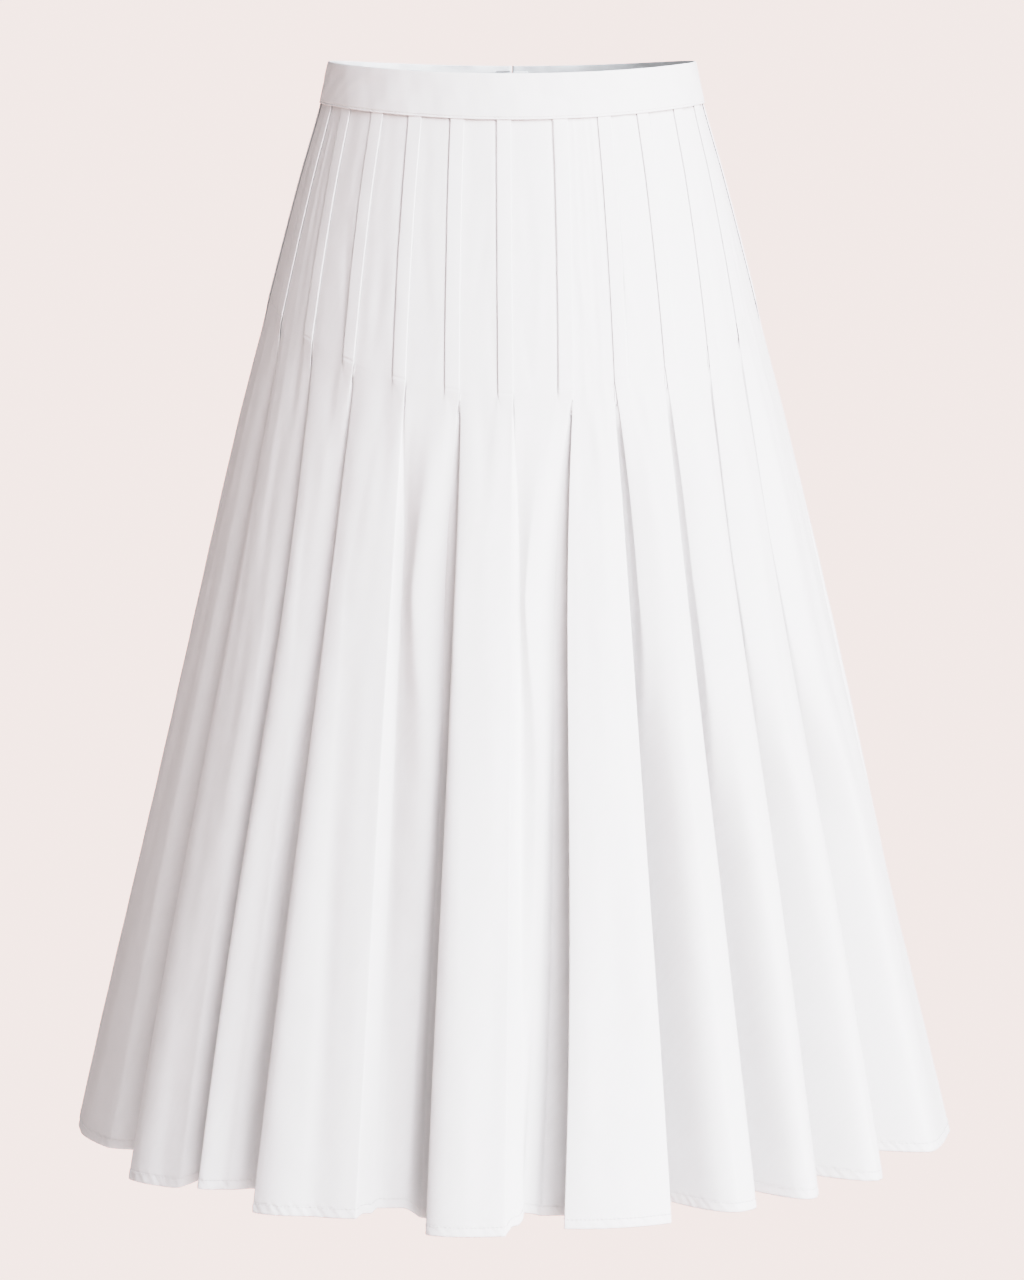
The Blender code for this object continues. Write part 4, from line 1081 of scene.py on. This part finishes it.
def noise(nodes, links, coordinate, scale, detail, stretch=None):
    if stretch is not None:
        mapping = nodes.new("ShaderNodeMapping")
        mapping.inputs["Scale"].default_value = stretch
        links.new(coordinate, mapping.inputs["Vector"])
        coordinate = mapping.outputs["Vector"]
    made = nodes.new("ShaderNodeTexNoise")
    made.inputs["Scale"].default_value = scale
    made.inputs["Detail"].default_value = detail
    links.new(coordinate, made.inputs["Vector"])
    return made.outputs["Fac"]


def combine(nodes, links, operation, first, second):
    made = nodes.new("ShaderNodeMath")
    made.operation = operation
    for k, value in enumerate((first, second)):
        if isinstance(value, (int, float)):
            made.inputs[k].default_value = value
        else:
            links.new(value, made.inputs[k])
    return made.outputs[0]


def total(nodes, links, *parts):
    """The sum of parts of (output, factor)."""
    summed = None
    for value, factor in parts:
        part = value if factor == 1 else combine(nodes, links, "MULTIPLY", value, factor)
        summed = part if summed is None else combine(nodes, links, "ADD", summed, part)
    return summed


def ramp(nodes, links, value, positions, colours):
    """A blend between two colours, at these values."""
    made = nodes.new("ShaderNodeValToRGB")
    for element, position, colour in zip(made.color_ramp.elements, positions, colours):
        element.position = position
        element.color = (*colour, 1)
    links.new(value, made.inputs["Fac"])
    return made.outputs["Color"]


def spread(nodes, links, value, low, high):
    """A value from 0 to 1, mapped to run from low to high."""
    made = nodes.new("ShaderNodeMapRange")
    made.inputs["To Min"].default_value = low
    made.inputs["To Max"].default_value = high
    links.new(value, made.inputs["Value"])
    return made.outputs["Result"]


def bump(nodes, links, height, strength, distance, normal=None):
    made = nodes.new("ShaderNodeBump")
    made.inputs["Strength"].default_value = strength
    made.inputs["Distance"].default_value = distance
    links.new(height, made.inputs["Height"])
    if normal is not None:
        links.new(normal, made.inputs["Normal"])
    return made.outputs["Normal"]


def material(name):
    """A new material, its nodes, links and shader."""
    made = bpy.data.materials.new(name)
    made.use_nodes = True
    return made, made.node_tree.nodes, made.node_tree.links, made.node_tree.nodes["Principled BSDF"]


def fabric(name, low, high, thread, roughness, sheen, weave_depth, slub_depth):
    """A plain weave with slubs and faint mottling between two near colours; thread is its pitch."""
    made, nodes, links, shader = material(name)
    shader.inputs["Roughness"].default_value = roughness
    shader.inputs["Specular IOR Level"].default_value = 0.3
    shader.inputs["Sheen Weight"].default_value = sheen
    shader.inputs["Sheen Roughness"].default_value = 0.45
    flat = nodes.new("ShaderNodeTexCoord").outputs["UV"]
    solid = nodes.new("ShaderNodeTexCoord").outputs["Object"]
    warp = wave(nodes, links, flat, "X", WAVE_BAND / thread, 1.6)
    weft = wave(nodes, links, flat, "Y", WAVE_BAND / thread, 1.6)
    cloth = combine(nodes, links, "MULTIPLY", warp, weft)
    slubs = noise(nodes, links, flat, 1.0, 3.0, (2600.0, 130.0, 1.0))
    slubs_across = noise(nodes, links, flat, 1.0, 3.0, (130.0, 2600.0, 1.0))
    slub = total(nodes, links, (slubs, 1), (slubs_across, 1))
    mottle = noise(nodes, links, solid, 42.0, 4.0)
    streaks = noise(nodes, links, flat, 1.0, 3.0, (240.0, 9.0, 1.0))
    tone = total(nodes, links, (mottle, 0.42), (streaks, 0.30), (slub, 0.10), (cloth, 0.12))
    links.new(ramp(nodes, links, tone, (0.25, 0.75), (low, high)), shader.inputs["Base Color"])
    weave = bump(nodes, links, cloth, 1.0, weave_depth)
    uneven = total(nodes, links, (slub, 1), (mottle, 3.0))
    links.new(bump(nodes, links, uneven, 1.0, slub_depth, weave), shader.inputs["Normal"])
    rough = spread(nodes, links, mottle, roughness - ROUGH_SPREAD, roughness + ROUGH_SPREAD)
    links.new(rough, shader.inputs["Roughness"])
    return made


def enamel():
    """White enamel on a die-cast slider and tab, with faint orange peel and small handling marks."""
    made, nodes, links, shader = material("zip_enamel")
    shader.inputs["Coat Weight"].default_value = 0.4
    shader.inputs["Coat Roughness"].default_value = 0.15
    solid = nodes.new("ShaderNodeTexCoord").outputs["Object"]
    peel = noise(nodes, links, solid, 1400.0, 2.0)
    marks = noise(nodes, links, solid, 1.0, 4.0, (420.0, 420.0, 2600.0))
    colour = ramp(nodes, links, marks, (0.2, 0.7), ((0.77, 0.76, 0.745), (0.86, 0.86, 0.86)))
    links.new(colour, shader.inputs["Base Color"])
    links.new(spread(nodes, links, marks, 0.26, 0.46), shader.inputs["Roughness"])
    links.new(bump(nodes, links, peel, 0.6, 0.00003), shader.inputs["Normal"])
    return made


camera = bpy.data.objects.new("camera", bpy.data.cameras.new("camera"))
bpy.context.scene.collection.objects.link(camera)
camera.location = CAMERA
camera.rotation_euler = (math.radians(90 - CAMERA_DOWN), 0.0, 0.0)
camera.data.sensor_width = 36.0
camera.data.lens = CAMERA_LENS
camera.data.clip_end = CAMERA_SEES
bpy.context.scene.camera = camera

cotton = fabric(
    "cotton_poplin", low=(0.800, 0.795, 0.788), high=(0.846, 0.842, 0.838), thread=0.00045,
    roughness=0.82, sheen=0.12, weave_depth=0.00002, slub_depth=0.00001
)
tape_weave = fabric(
    "zip_tape", low=(0.83, 0.83, 0.83), high=(0.90, 0.90, 0.90), thread=0.0007,
    roughness=0.75, sheen=0.05, weave_depth=0.00016, slub_depth=0.00002
)
zip_finish = enamel()

front, front_facts = cloth_panel("front_cloth", 0, SIDE_LEFT)
back_left, back_left_facts = cloth_panel("back_left_cloth", SIDE_LEFT, BACK_PANEL + 1)
back_right, back_right_facts = cloth_panel("back_right_cloth", BACK_PANEL, len(PLEATS))
band, band_thread = band_shell()
for piece, node in (
    (front, "front_panel"),
    (back_left, "back_panel_left"),
    (back_right, "back_panel_right"),
    (band, "waistband"),
):
    piece.data.materials.append(cotton)
    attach(piece, BODY)
    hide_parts(node)

threads = [
    stitched_panel("front_stitching", front_facts),
    stitched_panel("back_left_stitching", back_left_facts),
    stitched_panel("back_right_stitching", back_right_facts),
    band_thread,
]
for piece in threads:
    piece.data.materials.append(cotton)
    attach(piece, BODY)

for name, side in (("zip_tape_left", -1), ("zip_tape_right", 1)):
    tape, coil = zip_tape(name + "_weave", side)
    for piece in (tape, coil):
        piece.data.materials.append(tape_weave)
        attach(piece, BODY)
    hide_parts(name)

for name in ("zip_slider", "zip_pull_tab"):
    node = bpy.data.objects[name]
    for slot in node.material_slots:
        slot.material = zip_finish
    bevel = node.modifiers.new("edges", "BEVEL")
    bevel.width = 0.00018
    bevel.segments = 2
    bevel.limit_method = "ANGLE"
    bevel.angle_limit = math.radians(40)

floor = bpy.data.objects.new("floor", bpy.data.meshes.new("floor"))
corners = [(x * FLOOR_HALF, y * FLOOR_HALF, FLOOR_LEVEL) for x, y in ((-1, -1), (1, -1), (1, 1), (-1, 1))]
floor.data.from_pydata(corners, [], [(0, 1, 2, 3)])
bpy.context.scene.collection.objects.link(floor)
floor_material, nodes, links, shader = material("floor")
shader.inputs["Base Color"].default_value = (0.92, 0.85, 0.83, 1)
shader.inputs["Roughness"].default_value = 1.0
shader.inputs["Specular IOR Level"].default_value = 0.0
shader.inputs["Emission Strength"].default_value = 1.0
away = nodes.new("ShaderNodeVectorMath")
away.operation = "LENGTH"
links.new(nodes.new("ShaderNodeTexCoord").outputs["Object"], away.inputs[0])
zone = nodes.new("ShaderNodeMapRange")
zone.inputs["From Min"].default_value = FLOOR_NEAR
zone.inputs["From Max"].default_value = FLOOR_FAR
links.new(away.outputs["Value"], zone.inputs["Value"])
glow = ramp(nodes, links, zone.outputs["Result"], (0.0, 1.0), (FLOOR_NEAR_GLOW, FLOOR_FAR_GLOW))
links.new(glow, shader.inputs["Emission Color"])
floor.data.materials.append(floor_material)

world = bpy.data.worlds.new("world")
bpy.context.scene.world = world
world.use_nodes = True
sky = world.node_tree.nodes["Background"]
sky.inputs["Color"].default_value = (0.87, 0.95, 0.98, 1)
sky.inputs["Strength"].default_value = 0.27

# One soft sun
lamp = bpy.data.lights.new("key", "SUN")
lamp.energy = 4.27
lamp.angle = math.radians(75)
lamp.color = (0.96, 0.98, 1.03)
key = bpy.data.objects.new("key", lamp)
bpy.context.scene.collection.objects.link(key)
key.rotation_euler = (math.radians(90 - SUN_HIGH), 0.0, math.radians(SUN_AROUND))

# A print's soft shoulder: darker light is kept as it is, and what is brighter is held back
view = bpy.context.scene.view_settings
view.view_transform = "Standard"
view.use_curve_mapping = True
view.curve_mapping.white_level = (TONE_WHITE, TONE_WHITE, TONE_WHITE)
tone = view.curve_mapping.curves[3]
for light, shown in TONE:
    tone.points.new(light / TONE_WHITE, shown)
tone.points[len(tone.points) - 1].location = (1.0, TONE_TOP)
view.curve_mapping.update()
